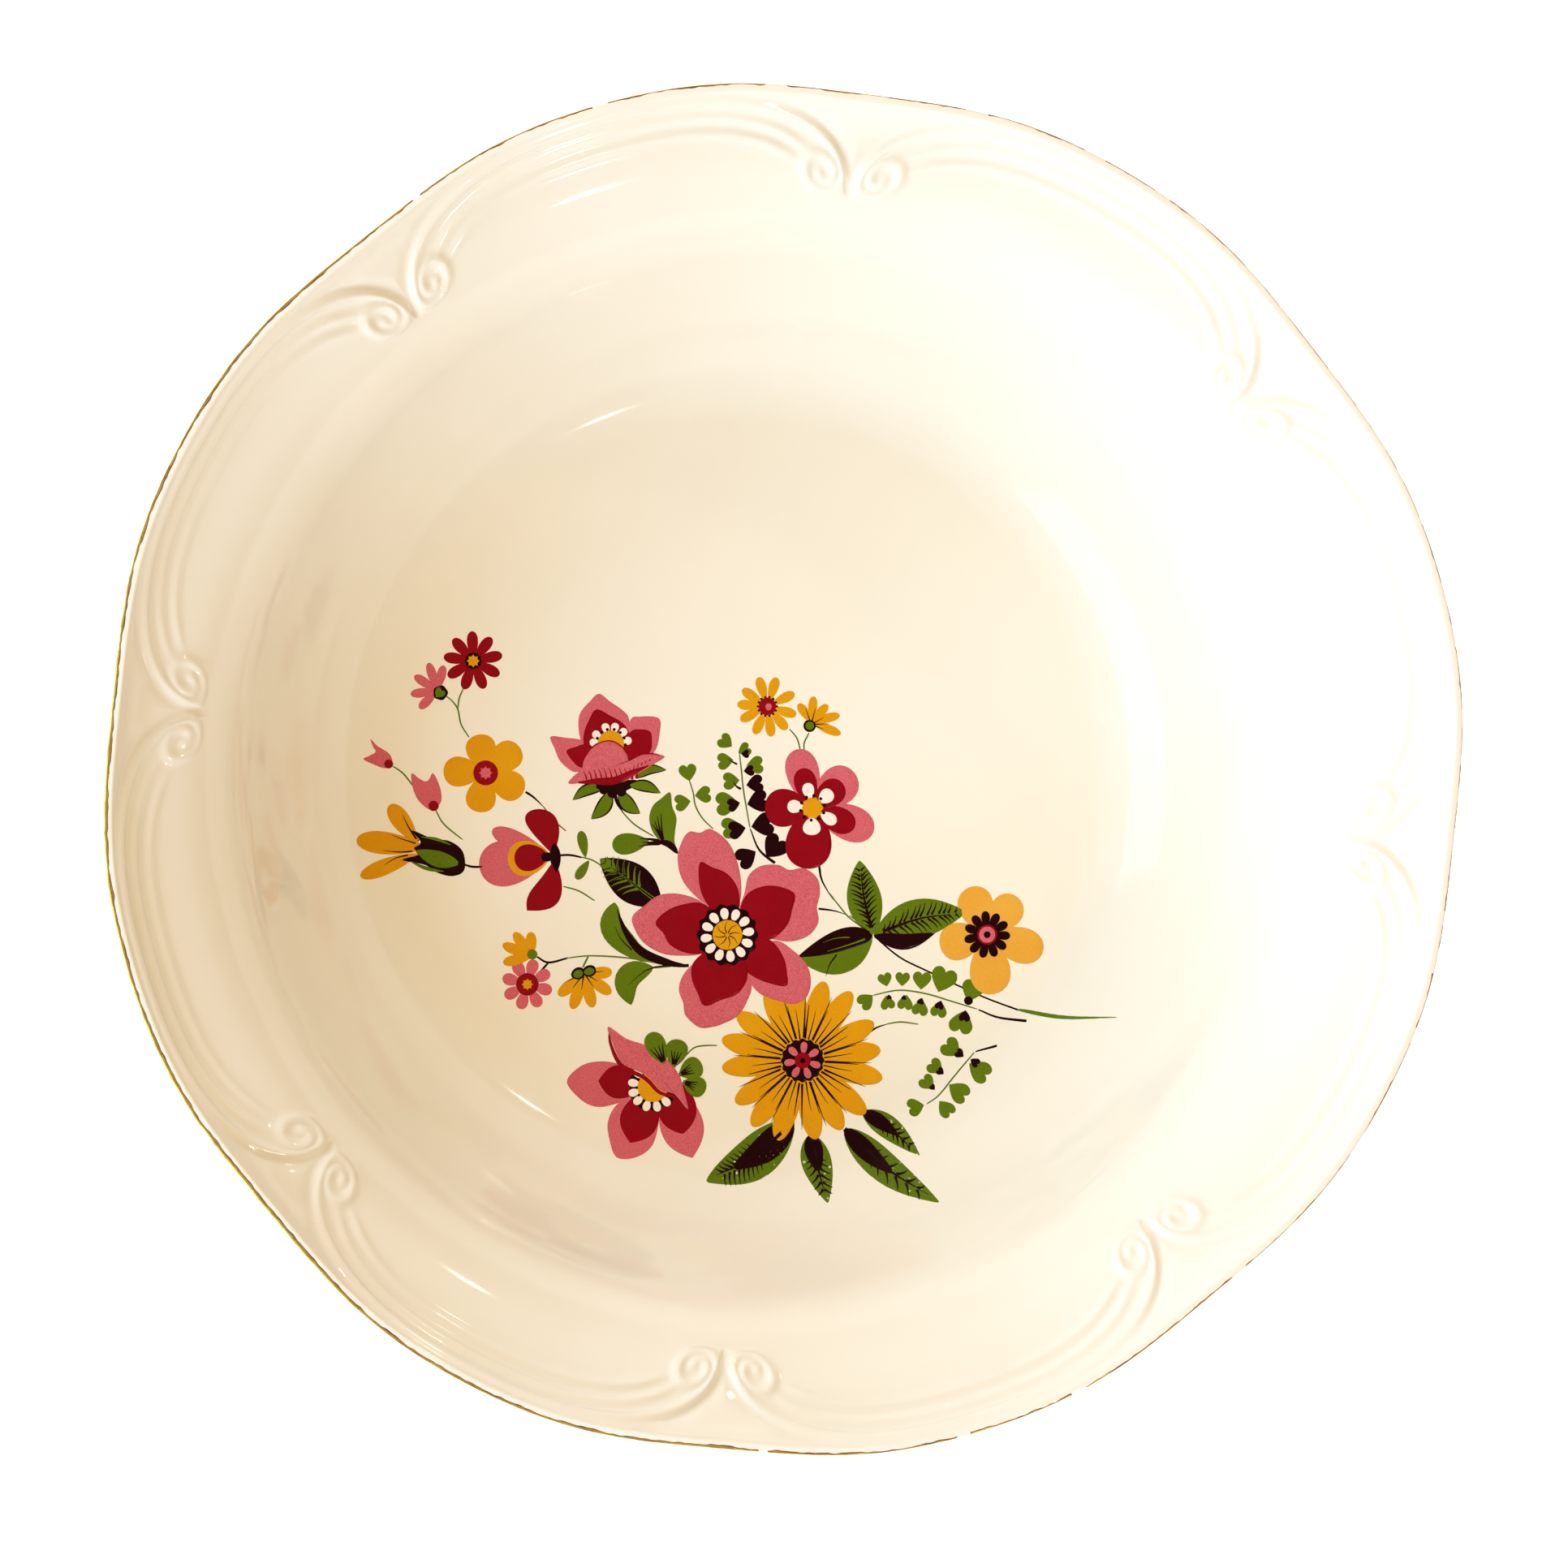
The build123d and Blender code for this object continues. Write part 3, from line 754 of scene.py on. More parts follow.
def side_flower():
    hub = (-39.6, -16.2)
    return [
        ("pink", 1, [petal(hub, (-53.8, -18.6), 9.4), petal(hub, (-51.2, -11.0), 3.9)]),
        ("yellow", 2, [petal(hub, (-48.1, -17.1), 6.9, waist=0.5)]),
        ("red", 3, [
            petal((-39.8, -16.2), (-46.8, -16.9), 5.3, waist=0.5),
            petal((-38.9, -15.6), (-43.6, -7.2), 5.8, bend=-0.12),
            petal((-38.6, -17.4), (-44.2, -27.3), 6.0, point=1.0, bend=0.16),
        ]),
        ("dark", 4, [
            leaf((-38.7, -13.4), (-38.2, -19.8), 2.3), petal((-38.4, -16.4), (-41.4, -16.5), 2.0),
        ]),
        ("dark", 0, [stem((-38.6, -16.2), (-35.5, -16.1), (-33.0, -16.6), width=0.5)]),
        ("green", 0, [
            stem((-33.2, -16.5), (-31.0, -17.1), (-29.0, -18.3)),
            petal((-32.3, -16.6), (-33.3, -11.2), 2.1), petal((-31.6, -17.2), (-34.2, -21.0), 2.0),
            stem((-36.9, -22.4), (-33.6, -23.4), (-30.4, -25.4)),
        ]),
    ]


def rose():
    dome = curve(
        [
            (-27.6, 6.9), (-25.3, 6.0), (-23.9, 4.2), (-23.4, 3.0), (-21.0, 4.1), (-18.6, 4.3),
            (-16.2, 3.8), (-18.6, 2.2), (-21.4, 0.4), (-24.3, -1.2), (-27.6, -1.7), (-31.6, -1.4),
            (-35.7, -1.7), (-34.8, -0.2), (-33.2, 1.2), (-32.6, 3.4), (-30.6, 5.9),
        ],
        68, closed=True,
    )
    heads = [176, 148, 108, 76, 43, 10]
    yolk = (-27.2, 6.4)
    shade = [stroke((-32.0 + 1.02 * n, -1.3 + 0.012 * (n - 3) ** 2), (-32.4 + 1.04 * n, 0.2 + 0.05 * n),
                    (-32.9 + 1.02 * n, 1.1 + 0.9 * math.sin(n * 0.27)), width=0.62) for n in range(11)]
    shade += [
        stroke((-22.6 + 0.8 * n, 1.0 + 0.45 * n), (-22.4 + 0.8 * n, 2.3 + 0.3 * n), width=0.5)
        for n in range(5)
    ]
    sepals = [
        outlined((-28.2, -2.4), (-35.0, -5.0), 2.0, -0.12),
        outlined((-27.2, -3.0), (-31.2, -8.9), 2.6, 0.1), outlined((-25.4, -3.0), (-21.2, -7.8), 2.6, -0.1),
        outlined((-23.6, -2.0), (-17.0, -3.6), 2.0, 0.1), outlined((-22.4, -0.6), (-15.8, 1.1), 1.6, 0.14),
    ]
    return [
        ("pink", 2, [
            drawn(
                (-29.6, 16.5), (-31.5, 14.9), (-33.3, 12.8), (-33.8, 10.4), (-33.3, 7.1), (-31.5, 3),
                (-26, 2), (-23.2, 5), (-23.4, 11.0), (-24.6, 13.0), (-27.3, 14.9), middle=(-28.6, 9),
            ),
            drawn(
                (-23.4, 11.0), (-21.3, 11.9), (-17.5, 11.6), (-17.2, 8.9), (-18.4, 4.7), (-22.5, 3.0),
                (-26, 4), middle=(-21.5, 7),
            ),
            drawn(
                (-39.4, 7.8), (-36.3, 7.6), (-33.0, 7.1), (-29, 5), (-30, 0), (-33.0, 0.7), (-35.0, 0.8),
                (-37.4, 2.8), (-38.6, 5.4), middle=(-34, 4),
            ),
        ]),
        ("red", 3, [
            drawn(
                (-30.2, 13.4), (-31.8, 11.0), (-32.7, 8.6), (-32.6, 5.9), (-30, 3), (-26, 2), (-23.7, 3.2),
                (-23.3, 8.0), (-24.5, 10.4), (-27.2, 12.1), middle=(-28.2, 7.5),
            ),
            drawn(
                (-23.3, 8.8), (-21.3, 9.4), (-19.4, 9.1), (-18.8, 7.8), (-19.2, 4.7), (-22.5, 2.9),
                (-25.5, 4.5), middle=(-22, 6),
            ),
            drawn(
                (-36.3, 4.9), (-34.4, 5.8), (-32.0, 6.3), (-29, 4), (-30.5, 1.2), (-33.3, 1.5),
                (-34.8, 2.6), middle=(-32.5, 3.7),
            ),
        ]),
        ("cream", 4, around(yolk, 1.9, 4.4, heads, 1.75)), ("yellow", 5, [disc(yolk, 2.75)]),
        ("dark", 6, [disc(polar(yolk, 2.95, h), 0.36) for h in range(-4, 190, 27)]),
        ("pink", 7, [patch(dome, (-27.4, 1.5))]),
        ("red", 8, [
            strip(
                [(-34.6, -1.5), (-30.6, -1.2), (-26.4, -1.0), (-22.5, 0.7), (-18.8, 2.3)],
                lambda t: 0.85 * np.sin(math.pi * t) ** 0.8, 20,
            ),
            strip(
                [(-33.2, 1.3), (-32.6, 3.4), (-30.6, 6.0), (-27.6, 7.0), (-25.3, 6.1), (-23.8, 4.3)],
                lambda t: 0.18 + 0 * t, 24,
            ),
            stroke((-20.6, 4.3), (-18.6, 4.4), (-16.2, 3.8), width=0.45), *shade,
        ]),
        ("dark", 0, [outline for _, outline in sepals]), ("green", 1, [fill for fill, _ in sepals]),
        ("dark", 1, [
            strip(
                [(-30.8, -2.0), (-26.4, -2.5), (-21.4, -1.2)], lambda t: 1.15 * np.sin(math.pi * t) ** 0.5,
                16,
            ),
            disc((-26.9, -3.6), 1.1), disc((-25.0, -3.4), 1.0), disc((-28.6, -2.9), 1.0),
            stroke((-26.4, -3.4), (-25.9, -5.6), (-24.4, -7.9), width=0.9),
        ]),
        ("green", 0, [stem((-25.0, -7.2), (-22.4, -9.9), (-18.4, -12.4))]),
    ]


def rose_leaves():
    upright = curve(
        [
            (-15.1, -3.4), (-14.7, -6.2), (-13.8, -8.6), (-14.1, -11.4), (-14.2, -13.6), (-13.5, -15.9),
            (-16.6, -13.7), (-18.5, -11.8), (-19.4, -8.9), (-18.7, -6.2), (-16.9, -4.6),
        ],
        48, closed=True,
    )
    ends = [(-17.0, -6.9), (-17.8, -7.6), (-18.5, -8.6), (-19.1, -9.4)]
    return [
        ("green", 0, [patch(upright, (-16.2, -9.5)), petal((-19.4, -13.3), (-26.9, -14.2), 4.4)]),
        (
            "dark", 1,
            [stroke((-16.4, -13.6), ((-16.6 + x) / 2, -11.2), (x, y), width=0.7) for x, y in ends]
            + [
                strip(
                    [(-13.4, -16.0), (-15.4, -13.9), (-18.6, -13.3)],
                    lambda t: 0.75 * np.sin(math.pi * t ** 0.8), 12,
                ),
                stroke((-17.0, -13.3), (-19.4, -12.9), (-21.9, -12.8), width=0.8),
                stroke((-17.0, -13.6), (-19.6, -13.6), (-21.3, -13.5), width=0.8),
                stroke((-17.0, -13.8), (-19.6, -14.0), (-22.1, -14.5), width=0.8),
            ],
        ),
    ]


def three_heart_sprig():
    stalk = [(-11.2, -1.0), (-10.4, -3.6), (-10.0, -6.0), (-8.6, -8.6), (-6.3, -10.9)]
    return [(
        "green", 0,
        hearts(stalk, (-11.5, 0.6, 3.5), (-8.4, -3.9, 3.3), (-12.6, -5.5, 3.3)) + [stem(*stalk)],
    )]


def heart_fern():
    stalk = [(-1.0, 4.7), (-0.6, 1.2), (-0.1, -3.3), (1.2, -10.7), (3.1, -15.1), (6.4, -17.9)]
    return [
        (
            "green", 0,
            hearts(
                stalk, (-3.8, 6.8, 3.1), (-3.9, 2.9, 3.3), (-2.7, -1.1, 3.4), (-3.6, -5.7, 4.6),
                (-2.6, -10.6, 4.1), (0.0, 5.2, 2.7), (2.2, 2.1, 3.5),
            )
            + [stem(*stalk[:4])],
        ),
        (
            "dark", 1,
            hearts(
                stalk, (-2.2, -5.9, 2.7), (-1.5, -11.0, 3.6), (0.5, -16.6, 4.3), (0.2, 4.4, 1.7),
                (1.0, 1.0, 2.2), (2.2, -1.7, 3.5), (2.8, -5.3, 4.4), (3.8, -10.0, 4.6), (6.2, -14.6, 5.0),
            )
            + [
                stroke((-1.4, 2.2), (-2.8, 3.0), (-3.6, 3.7), width=0.5),
                stroke((-0.6, -2.8), (-1.6, -2.2), (-2.4, -1.0), width=0.6),
                strip(stalk[3:], lambda t: 0.12 + 0.22 * t, 16),
            ],
        ),
    ]


def yellow_daisy():
    heads = [107, 72, 26, -16, -49, -82, -115, -153, 176, 146]
    return [
        ("yellow", 1, around(YELLOW_DAISY, 0.8, 6.2, heads, 2.2, waist=0.15)),
        ("green", 0, [stem((9.2, 9.5), (10.8, 7.5), (11.6, 4.7))]),
        ("dark", 2, dots(YELLOW_DAISY, 1.95, 14, 0.27)),
        ("red", 3, [disc(YELLOW_DAISY, 1.85)]),
        ("pink", 4, [petal((4.9, 13.1), (5.0, 14.7), 1.3, waist=0.7)]),
    ]


def yellow_half_daisy():
    calyx = (13.4, 10.1)
    tips = [(11.1, 14.6), (14.2, 16.1), (17.1, 14.4), (19.6, 12.3), (19.8, 8.4)]
    ends = [(12.4, 14.1), (14.7, 14.1), (16.7, 12.0), (17.6, 10.5), (16.5, 9.3)]
    return [
        ("yellow", 1, spray((13.7, 10.8), tips, 1.9)),
        ("dark", 2, [stroke((13.7, 10.4), end, width=0.45) for end in ends] + [disc(calyx, 1.3)]),
        ("green", 3, [disc(calyx, 0.95)]),
        ("green", 0, [stem((13.3, 8.7), (12.3, 6.6), (12.3, 4.7))]),
    ]


def pink_windflower():
    return [
        ("pink", 2, petals(WINDFLOWER, ((10.7, 5.3), 6.9), ((22.6, 0.6), 8.0), ((26.6, -11.6), 7.4))),
        ("yellow", 8, [disc(WINDFLOWER, 2.15, 10, 0.07)]),
        ("dark", 9, dots(WINDFLOWER, 2.5, 10, 0.38, 12)),
        ("dark", 0, [stroke((15.4, -18.0), (16.0, -21.4), (18.6, -25.8), width=0.6)]),
        ("green", 0, [stem((17.4, -23.8), (19.9, -27.0), (21.9, -29.2), (26.2, -32.2))]),
    ]


def red_windflower_points():
    return [(
        "red", 3,
        petals(WINDFLOWER, ((11.7, 1.5), 4.8), ((20.3, -1.6), 5.6), ((22.8, -10.6), 5.4))
        + [
            petal(WINDFLOWER, (12.7, -19.0), 9.2, waist=0.45),
            petal(WINDFLOWER, (4.2, -6.6), 7.6, waist=0.4),
        ],
    )]


def main_flower():
    blooms = [
        drawn(
            (-5, -27), (-8.3, -25.9), (-12.4, -21.6), (-13.6, -16.9), (-12.7, -13.3), (-11.2, -11.4),
            (-9.0, -11.6), (-6.7, -10.9), (-2.9, -14.0), (-0.8, -20.0), (-1.0, -25.9), middle=(-6.5, -20),
        ),
        drawn(
            (-1, -28), (0.1, -23.8), (0.9, -20.4), (3.4, -18.4), (7.0, -18.2), (9.3, -19.2), (12.4, -18.9),
            (15.1, -21.0), (15.6, -24.1), (15.0, -26.8), (15.3, -29.9), (13.3, -32.6), (9.7, -33.8),
            (5.7, -33.3), (1, -32), middle=(7, -26),
        ),
        drawn(
            (1, -35), (6.4, -33.6), (9.7, -35.3), (12.9, -38.5), (13.8, -42.1), (12.9, -45.2),
            (10.6, -46.6), (7.5, -46.1), (3.9, -44.8), (1.5, -42.5), (-1, -38), middle=(6, -39.5),
        ),
        drawn(
            (-4, -36), (-9.1, -37.3), (-12.3, -40.3), (-13.3, -43.4), (-12.4, -46.3), (-11.9, -48.8),
            (-9.1, -51.2), (-6.2, -51.1), (-3.8, -50.3), (-1.1, -48.8), (0.8, -45.7), (1.6, -42.6),
            (0, -38), middle=(-6, -43.5),
        ),
        drawn(
            (-7, -30), (-8.3, -26.0), (-12.7, -24.1), (-17.2, -24.2), (-20.2, -26.2), (-22.8, -28.6),
            (-22.3, -31.2), (-20.4, -34.0), (-16.8, -36.1), (-12.7, -36.6), (-8.6, -36.2), (-6, -34),
            middle=(-14.5, -30.4),
        ),
    ]
    spokes = [stroke(MAIN_FLOWER, polar(MAIN_FLOWER, 1.6, h + 18), polar(MAIN_FLOWER, 3.1, h), width=0.42)
              for h in range(0, 360, 45)]
    return [
        ("pink", 4, blooms),
        ("yellow", 8, [disc(MAIN_FLOWER, 3.15)]),
        ("dark", 9, [ring_line(MAIN_FLOWER, 3.15, 0.32), *spokes]),
    ]


def main_flower_points():
    return [("red", 5, [
        drawn(
            (-9.0, -17.5), (-9.4, -20.8), (-8.6, -24.4), (-6.6, -27.4), (-3.6, -30), (-1.0, -27.0),
            (-1.2, -23.0), (-3.4, -19.9), (-6.6, -18.5), middle=(-5.4, -23.5),
        ),
        drawn(
            (10.5, -24.1), (7.6, -22.6), (4.1, -22.4), (0.6, -24.0), (-1.0, -27.5), (-1.0, -31.5),
            (2.4, -33.2), (6.0, -33.2), (9.0, -30.4), (10.0, -27.2), middle=(4.5, -28),
        ),
        drawn(
            (8.8, -42.9), (8.9, -40.0), (8.2, -37.0), (5.8, -33.7), (2, -33), (-1.5, -35.5), (-0.6, -38.6),
            (1.6, -40.8), (5.0, -42.3), middle=(4.0, -38),
        ),
        drawn(
            (-8.1, -46.9), (-9.6, -44.2), (-10.8, -41.2), (-10.5, -38.2), (-7.4, -35.4), (-3.4, -34.4),
            (0.2, -37.4), (0.8, -41.2), (-1.2, -44.4), (-4.6, -45.7), middle=(-5.2, -40.5),
        ),
        drawn(
            (-18.2, -30.0), (-16.6, -27.9), (-13.4, -26.3), (-8.8, -25.8), (-5.6, -28.6), (-5.2, -33),
            (-8.0, -36.0), (-11.8, -36.1), (-15.2, -34.4), (-16.6, -32.0), middle=(-11, -31),
        ),
    ])]


def cream_rays():
    tips = [(12.8, -1.5), (18.1, -3.2), (18.9, -9.7), (13.8, -12.2), (8.8, -6.2)]
    widths = (2.4, 2.9, 2.4, 3.6, 2.6)
    rays = []
    for tip, width in zip(tips, widths):
        start = np.array(WINDFLOWER) + 0.34 * (np.array(tip) - WINDFLOWER)
        rays.append(petal(start, tip, width, waist=0.5))
    return [("cream", 7, rosette(MAIN_FLOWER, 2.9, 5.6, 12, 1.75, 8, waist=0.5) + rays)]


def dark_eyes():
    lobes = rosette(ORANGE_WINDFLOWER, 1.2, 4.9, 11, 1.9, 95)
    return [
        ("dark", 6, [disc(MAIN_FLOWER, 6.2, 14, 0.045), disc(MARGUERITE, 4.4, 16, 0.04), *lobes,
                     disc(ORANGE_WINDFLOWER, 2.9)]),
    ]


def yellow_marguerite():
    count = 16
    blooms, lines = [], []
    for number in range(count):
        heading = 74.6 - 360 * number / count + 2.5 * math.sin(2.1 * number)
        reach = 16.7 + 0.5 * math.sin(1.7 * number)
        blooms.append(
            petal(polar(MARGUERITE, 0.5, heading), polar(MARGUERITE, reach, heading), 4.4, waist=0.5)
        )
        lines.append(stroke(
            polar(MARGUERITE, 3.4, heading),
            polar(MARGUERITE, 8, heading),
            polar(MARGUERITE, 11.4, heading + 1),
            width=0.5,
        ))
        for offset, end in ((-10.5, 14.4), (9.5, 12.6)):
            lines.append(stroke(
                polar(MARGUERITE, 3.4, heading + offset),
                polar(MARGUERITE, 9, heading + offset * 0.95),
                polar(MARGUERITE, end, heading + offset * 0.92),
                width=0.72,
            ))
    return [
        ("yellow", 2, blooms),
        ("dark", 3, lines),
        ("pink", 7, rosette(MARGUERITE, 1.2, 3.95, 7, 1.5, 85, waist=0.45)),
        ("red", 8, [disc(MARGUERITE, 1.75)]),
        ("dark", 9, [disc(MARGUERITE, 0.65)]),
        ("dark", 0, [stroke((25.4, -52.7), (27.6, -51.4), (30.4, -50.6), width=0.6)]),
        ("green", 0, [stem((29.4, -50.8), (32.4, -50.4), (36.1, -50.9))]),
    ]


def shaded_leaf(base, tip, width, dark_share, strokes, bend):
    """A green leaf whose base is dark, with strokes from the midrib."""
    base, tip = np.array(base, float), np.array(tip, float)
    whole = strip(
        [base, bent(base, tip, bend), tip], lambda t: 0.5 * width * np.sin(math.pi * t ** 0.8) ** 0.85, 20,
    )
    spine = curve([base, bent(base, tip, bend), tip], 41)
    end = spine[int(dark_share * 40)]
    heel = strip(
        [base, spine[int(dark_share * 20)], end],
        lambda t: 0.5 * width * np.sin(math.pi * (t * dark_share) ** 0.8) ** 0.85 * (1 - t) ** 0.6, 14,
    )
    return [
        ("green", 0, [whole]),
        ("dark", 1, [heel, *veins(base, tip, width, strokes, dark_share * 0.55, 0.8, 0.8, bend=bend)]),
    ]


def low_leaves():
    leaves = [
        ((10.4, -70.4), (-8.5, -81.8), 8.2, 0.75, 9, 0.08),
        ((13.8, -73.0), (15.4, -85.4), 6.2, 0.6, 6, 0.0),
        ((20.6, -72.0), (36.2, -84.0), 6.4, 0.6, 6, -0.06),
        ((24.4, -68.6), (34.8, -76.6), 4.8, 0.65, 6, 0.05),
    ]
    return [part for sizes in leaves for part in shaded_leaf(*sizes)]


def side_poppy():
    yolk = (-18.6, -63.2)
    heads = [138, 168, 196, 222, 252, 282, 312]
    fold = drawn(
        (-27.7, -50.9), (-24.1, -53.3), (-19.7, -54.9), (-15.8, -57.5), (-13.2, -60.9), (-12.1, -64.5),
        (-11.4, -67.9), (-14.1, -64.9), (-17.1, -63.8), (-19.9, -60.9), (-24.7, -58.4), (-26.9, -54.0),
        middle=(-19.2, -59),
    )
    sepals = [((-16.2, -58.6), (-19.2, -52.2), 4.3), ((-14.4, -59.2), (-13.3, -53.6), 4.6),
              ((-13.2, -60.8), (-8.6, -58.6), 4.6), ((-12.4, -62.2), (-7.8, -64.0), 4.2)]
    strokes = []
    for base, tip, _ in sepals:
        base, tip = np.array(base), np.array(tip)
        side = np.array([base[1] - tip[1], tip[0] - base[0]]) * 0.16
        strokes += [
            stroke(base, base + (tip - base) * 0.66 + side * sign, width=0.75)
            for sign in (-1.4, -0.5, 0.5, 1.4)
        ]
    return [
        ("pink", 1, [
            drawn(
                (-36.1, -62.0), (-33.2, -58.8), (-29.3, -57.9), (-25.2, -58.6), (-21.0, -61.0),
                (-21.5, -65.0), (-25.4, -66.4), (-29.7, -67.2), (-33.2, -65.7), middle=(-28.5, -62.3),
            ),
            drawn(
                (-25.8, -66.6), (-27.8, -70.1), (-27.6, -73.6), (-26.3, -76.8), (-22.3, -77.0),
                (-18.8, -74.9), (-17.3, -70.1), (-17.5, -65.5), (-21.5, -64.5), middle=(-22.3, -71.0),
            ),
            petal((-15.2, -63.0), (-10.7, -77.5), 8.2, point=0.9, waist=0.6),
        ]),
        ("red", 2, [
            petal((-20.0, -62.4), (-29.8, -61.9), 6.4, point=0.9, waist=0.6),
            petal((-18.6, -63.4), (-23.4, -74.4), 7.6, point=0.9, waist=0.5),
            petal((-15.0, -62.0), (-12.4, -72.9), 6.9, point=0.7, waist=0.8),
        ]),
        ("dark", 3, [disc(yolk, 4.9, 9, 0.05)]),
        ("cream", 4, around(yolk, 2.7, 5.2, heads, 1.6, waist=0.6)),
        ("dark", 5, [disc(polar(yolk, 3.3, h + 14), 0.34) for h in heads]),
        ("yellow", 5, [disc(yolk, 3.2)]),
        ("red", 6, [
            strip(
                [
                    (-27.5, -51.4), (-27.2, -54.4), (-25.0, -58.8), (-20.2, -61.4), (-17.3, -64.3),
                    (-14.2, -65.4), (-11.6, -68.2),
                ],
                lambda t: 0.5 * np.sin(math.pi * t) ** 0.5, 30,
            )
        ]),
        ("pink", 7, [fold]), ("green", 8, [petal(base, tip, width) for base, tip, width in sepals]),
        ("dark", 9, strokes),
        ("green", 0, [stem((-12.0, -57.0), (-10.1, -55.3), (-7.9, -54.9), (-5.4, -54.9))]),
    ]


def bud_cluster():
    half_tips = [(-37.8, -44.5), (-35.0, -47.3), (-30.8, -47.0), (-27.1, -44.2), (-26.9, -39.8)]
    ends = [(-37.0, -42.1), (-35.2, -43.4), (-33.2, -43.8), (-30.4, -43.2), (-29.4, -41.9), (-28.0, -39.6)]
    bud_tips = [(-46.8, -31.7), (-43.4, -31.6), (-49.1, -34.1), (-49.0, -37.8)]
    return [
        (
            "yellow", 1,
            spray((-43.2, -36.6), bud_tips, 2.2)
            + spray((-32.6, -40.2), half_tips, 2.5)
            + [petal((-44.2, -36.0), (-46.6, -37.6), 2.4)],
        ),
        ("pink", 1, rosette(PINK_DAISY, 1.2, 5.2, 8, 2.5, 74)), ("red", 2, [disc(PINK_DAISY, 2.35)]),
        ("yellow", 3, [star(PINK_DAISY, 1.3, 8)]),
        (
            "dark", 2,
            [stroke((-32.6, -40.0), end, width=0.5) for end in ends]
            + [
                petal((-35.2, -40.6), (-32.4, -39.6), 2.2, waist=0.8),
                petal((-33.0, -39.9), (-30.1, -39.3), 2.1, waist=0.8),
            ],
        ),
        ("green", 3, [
            petal((-34.9, -40.5), (-32.8, -39.8), 1.5, waist=0.8),
            petal((-32.7, -39.9), (-30.5, -39.4), 1.4, waist=0.8),
            petal((-43.9, -36.9), (-42.4, -35.4), 1.9, waist=0.8),
        ]),
        ("dark", 0, [
            stem((-42.2, -36.6), (-39.8, -37.8), (-35.8, -36.9), width=0.5),
            stem((-39.8, -37.8), (-41.5, -39.7), width=0.5),
            stroke((-11.0, -38.6), (-14.6, -38.6), (-19.0, -37.9), width=0.8),
        ]),
        ("green", 0, [
            stem((-36.0, -36.9), (-31.0, -36.5), (-23.6, -37.0), (-17.1, -38.2)),
            stem((-31.7, -36.5), (-32.9, -38.9), width=0.45),
        ]),
    ]


def side_leaves():
    toothed = ((-16.9, -26.2), (-29.5, -16.8))
    return [
        ("dark", 0, [leaf(*toothed, 8.0)]),
        (
            "green", 1,
            veins(*toothed, 8.6, 7, 0.35, 0.88, 0.8) + [leaf((-26.2, -19.3), (-29.4, -16.9), 2.6)],
        ),
        ("dark", 2, veins(*toothed, 8.0, 6, 0.4, 0.9, 0.42)),
        ("green", 0, [
            strip(
                [(-26.4, -25.6), (-26.8, -31.0), (-21.2, -36.4), (-18.0, -37.6)],
                lambda t: 2.5 * np.sin(math.pi * t ** 0.75) ** 0.9, 20,
            ),
            strip(
                [(-18.4, -38.9), (-22.8, -40.2), (-24.0, -42.6), (-23.0, -46.6)],
                lambda t: 2.6 * np.sin(math.pi * t ** 0.95) ** 0.8, 20,
            ),
            stem((-13.4, -38.5), (-18.6, -39.0), width=0.5),
        ]),
        ("dark", 1, [
            strip(
                [(-26.2, -26.4), (-24.2, -31.6), (-20.8, -35.8), (-15.4, -38.0), (-11.2, -38.6)],
                lambda t: 0.95 * np.sin(math.pi * t ** 1.2) ** 0.8, 24,
            ),
            stroke((-22.2, -36.0), (-25.2, -33.0), (-26.6, -29.8), width=0.5),
            stroke((-12.4, -38.5), (-19.4, -39.2), (-24.6, -43.4), width=0.5),
        ]),
    ]


def triple_leaves():
    up, right, low = (23.7, -17.2), (45.9, -27.9), (11.0, -37.4)
    return [
        ("green", 0, [
            leaf(LEAF_NODE, up, 7.2, 0.03), leaf(LEAF_NODE, low, 8.8, 0.08),
            stem((21.6, -28.5), (24.2, -30.4), (26.6, -32.6)),
        ]),
        (
            "dark", 1,
            veins(LEAF_NODE, up, 7.0, 13, 0.1, 0.86, 0.72, bend=0.03)
            + [
                strip(
                    [LEAF_NODE, (20.6, -33.4), (11.0, -37.0)],
                    lambda t: 2.3 * np.sin(math.pi * t ** 0.7) ** 0.8, 20,
                ),
                stroke((19.5, -36.0), (17.6, -38.6), (16.8, -41.2), width=0.6),
            ],
        ),
        ("green", 2, [
            stroke((26.0, -33.0), (21.4, -34.6), (16.0, -36.2), width=0.6),
            stroke((22.6, -33.0), (18.8, -33.2), (15.4, -34.4), width=0.4),
        ]),
        ("green", 3, [leaf(LEAF_NODE, right, 8.2, 0.05)]),
        (
            "dark", 4,
            veins(LEAF_NODE, right, 8.1, 14, 0.1, 0.88, 0.74, bend=0.05)
            + [leaf(LEAF_NODE, (39.5, -32.2), 3.4, -0.12)],
        ),
        ("dark", 0, [
            stroke((15.1, -27.1), (18.6, -27.6), (21.6, -28.6), width=0.55),
            strip(
                [(26.6, -32.6), (31.9, -37.0), (37.4, -39.8), (49.1, -45.2), (57.0, -48.2)],
                lambda t: 0.2 + 0 * t, 26,
            ),
        ]),
        ("green", 0, [
            strip(
                [(56.0, -47.9), (64.6, -49.2), (73.6, -48.4)],
                lambda t: 0.34 * np.sin(math.pi * t ** 0.6) + 0.08, 14,
            )
        ]),
    ]


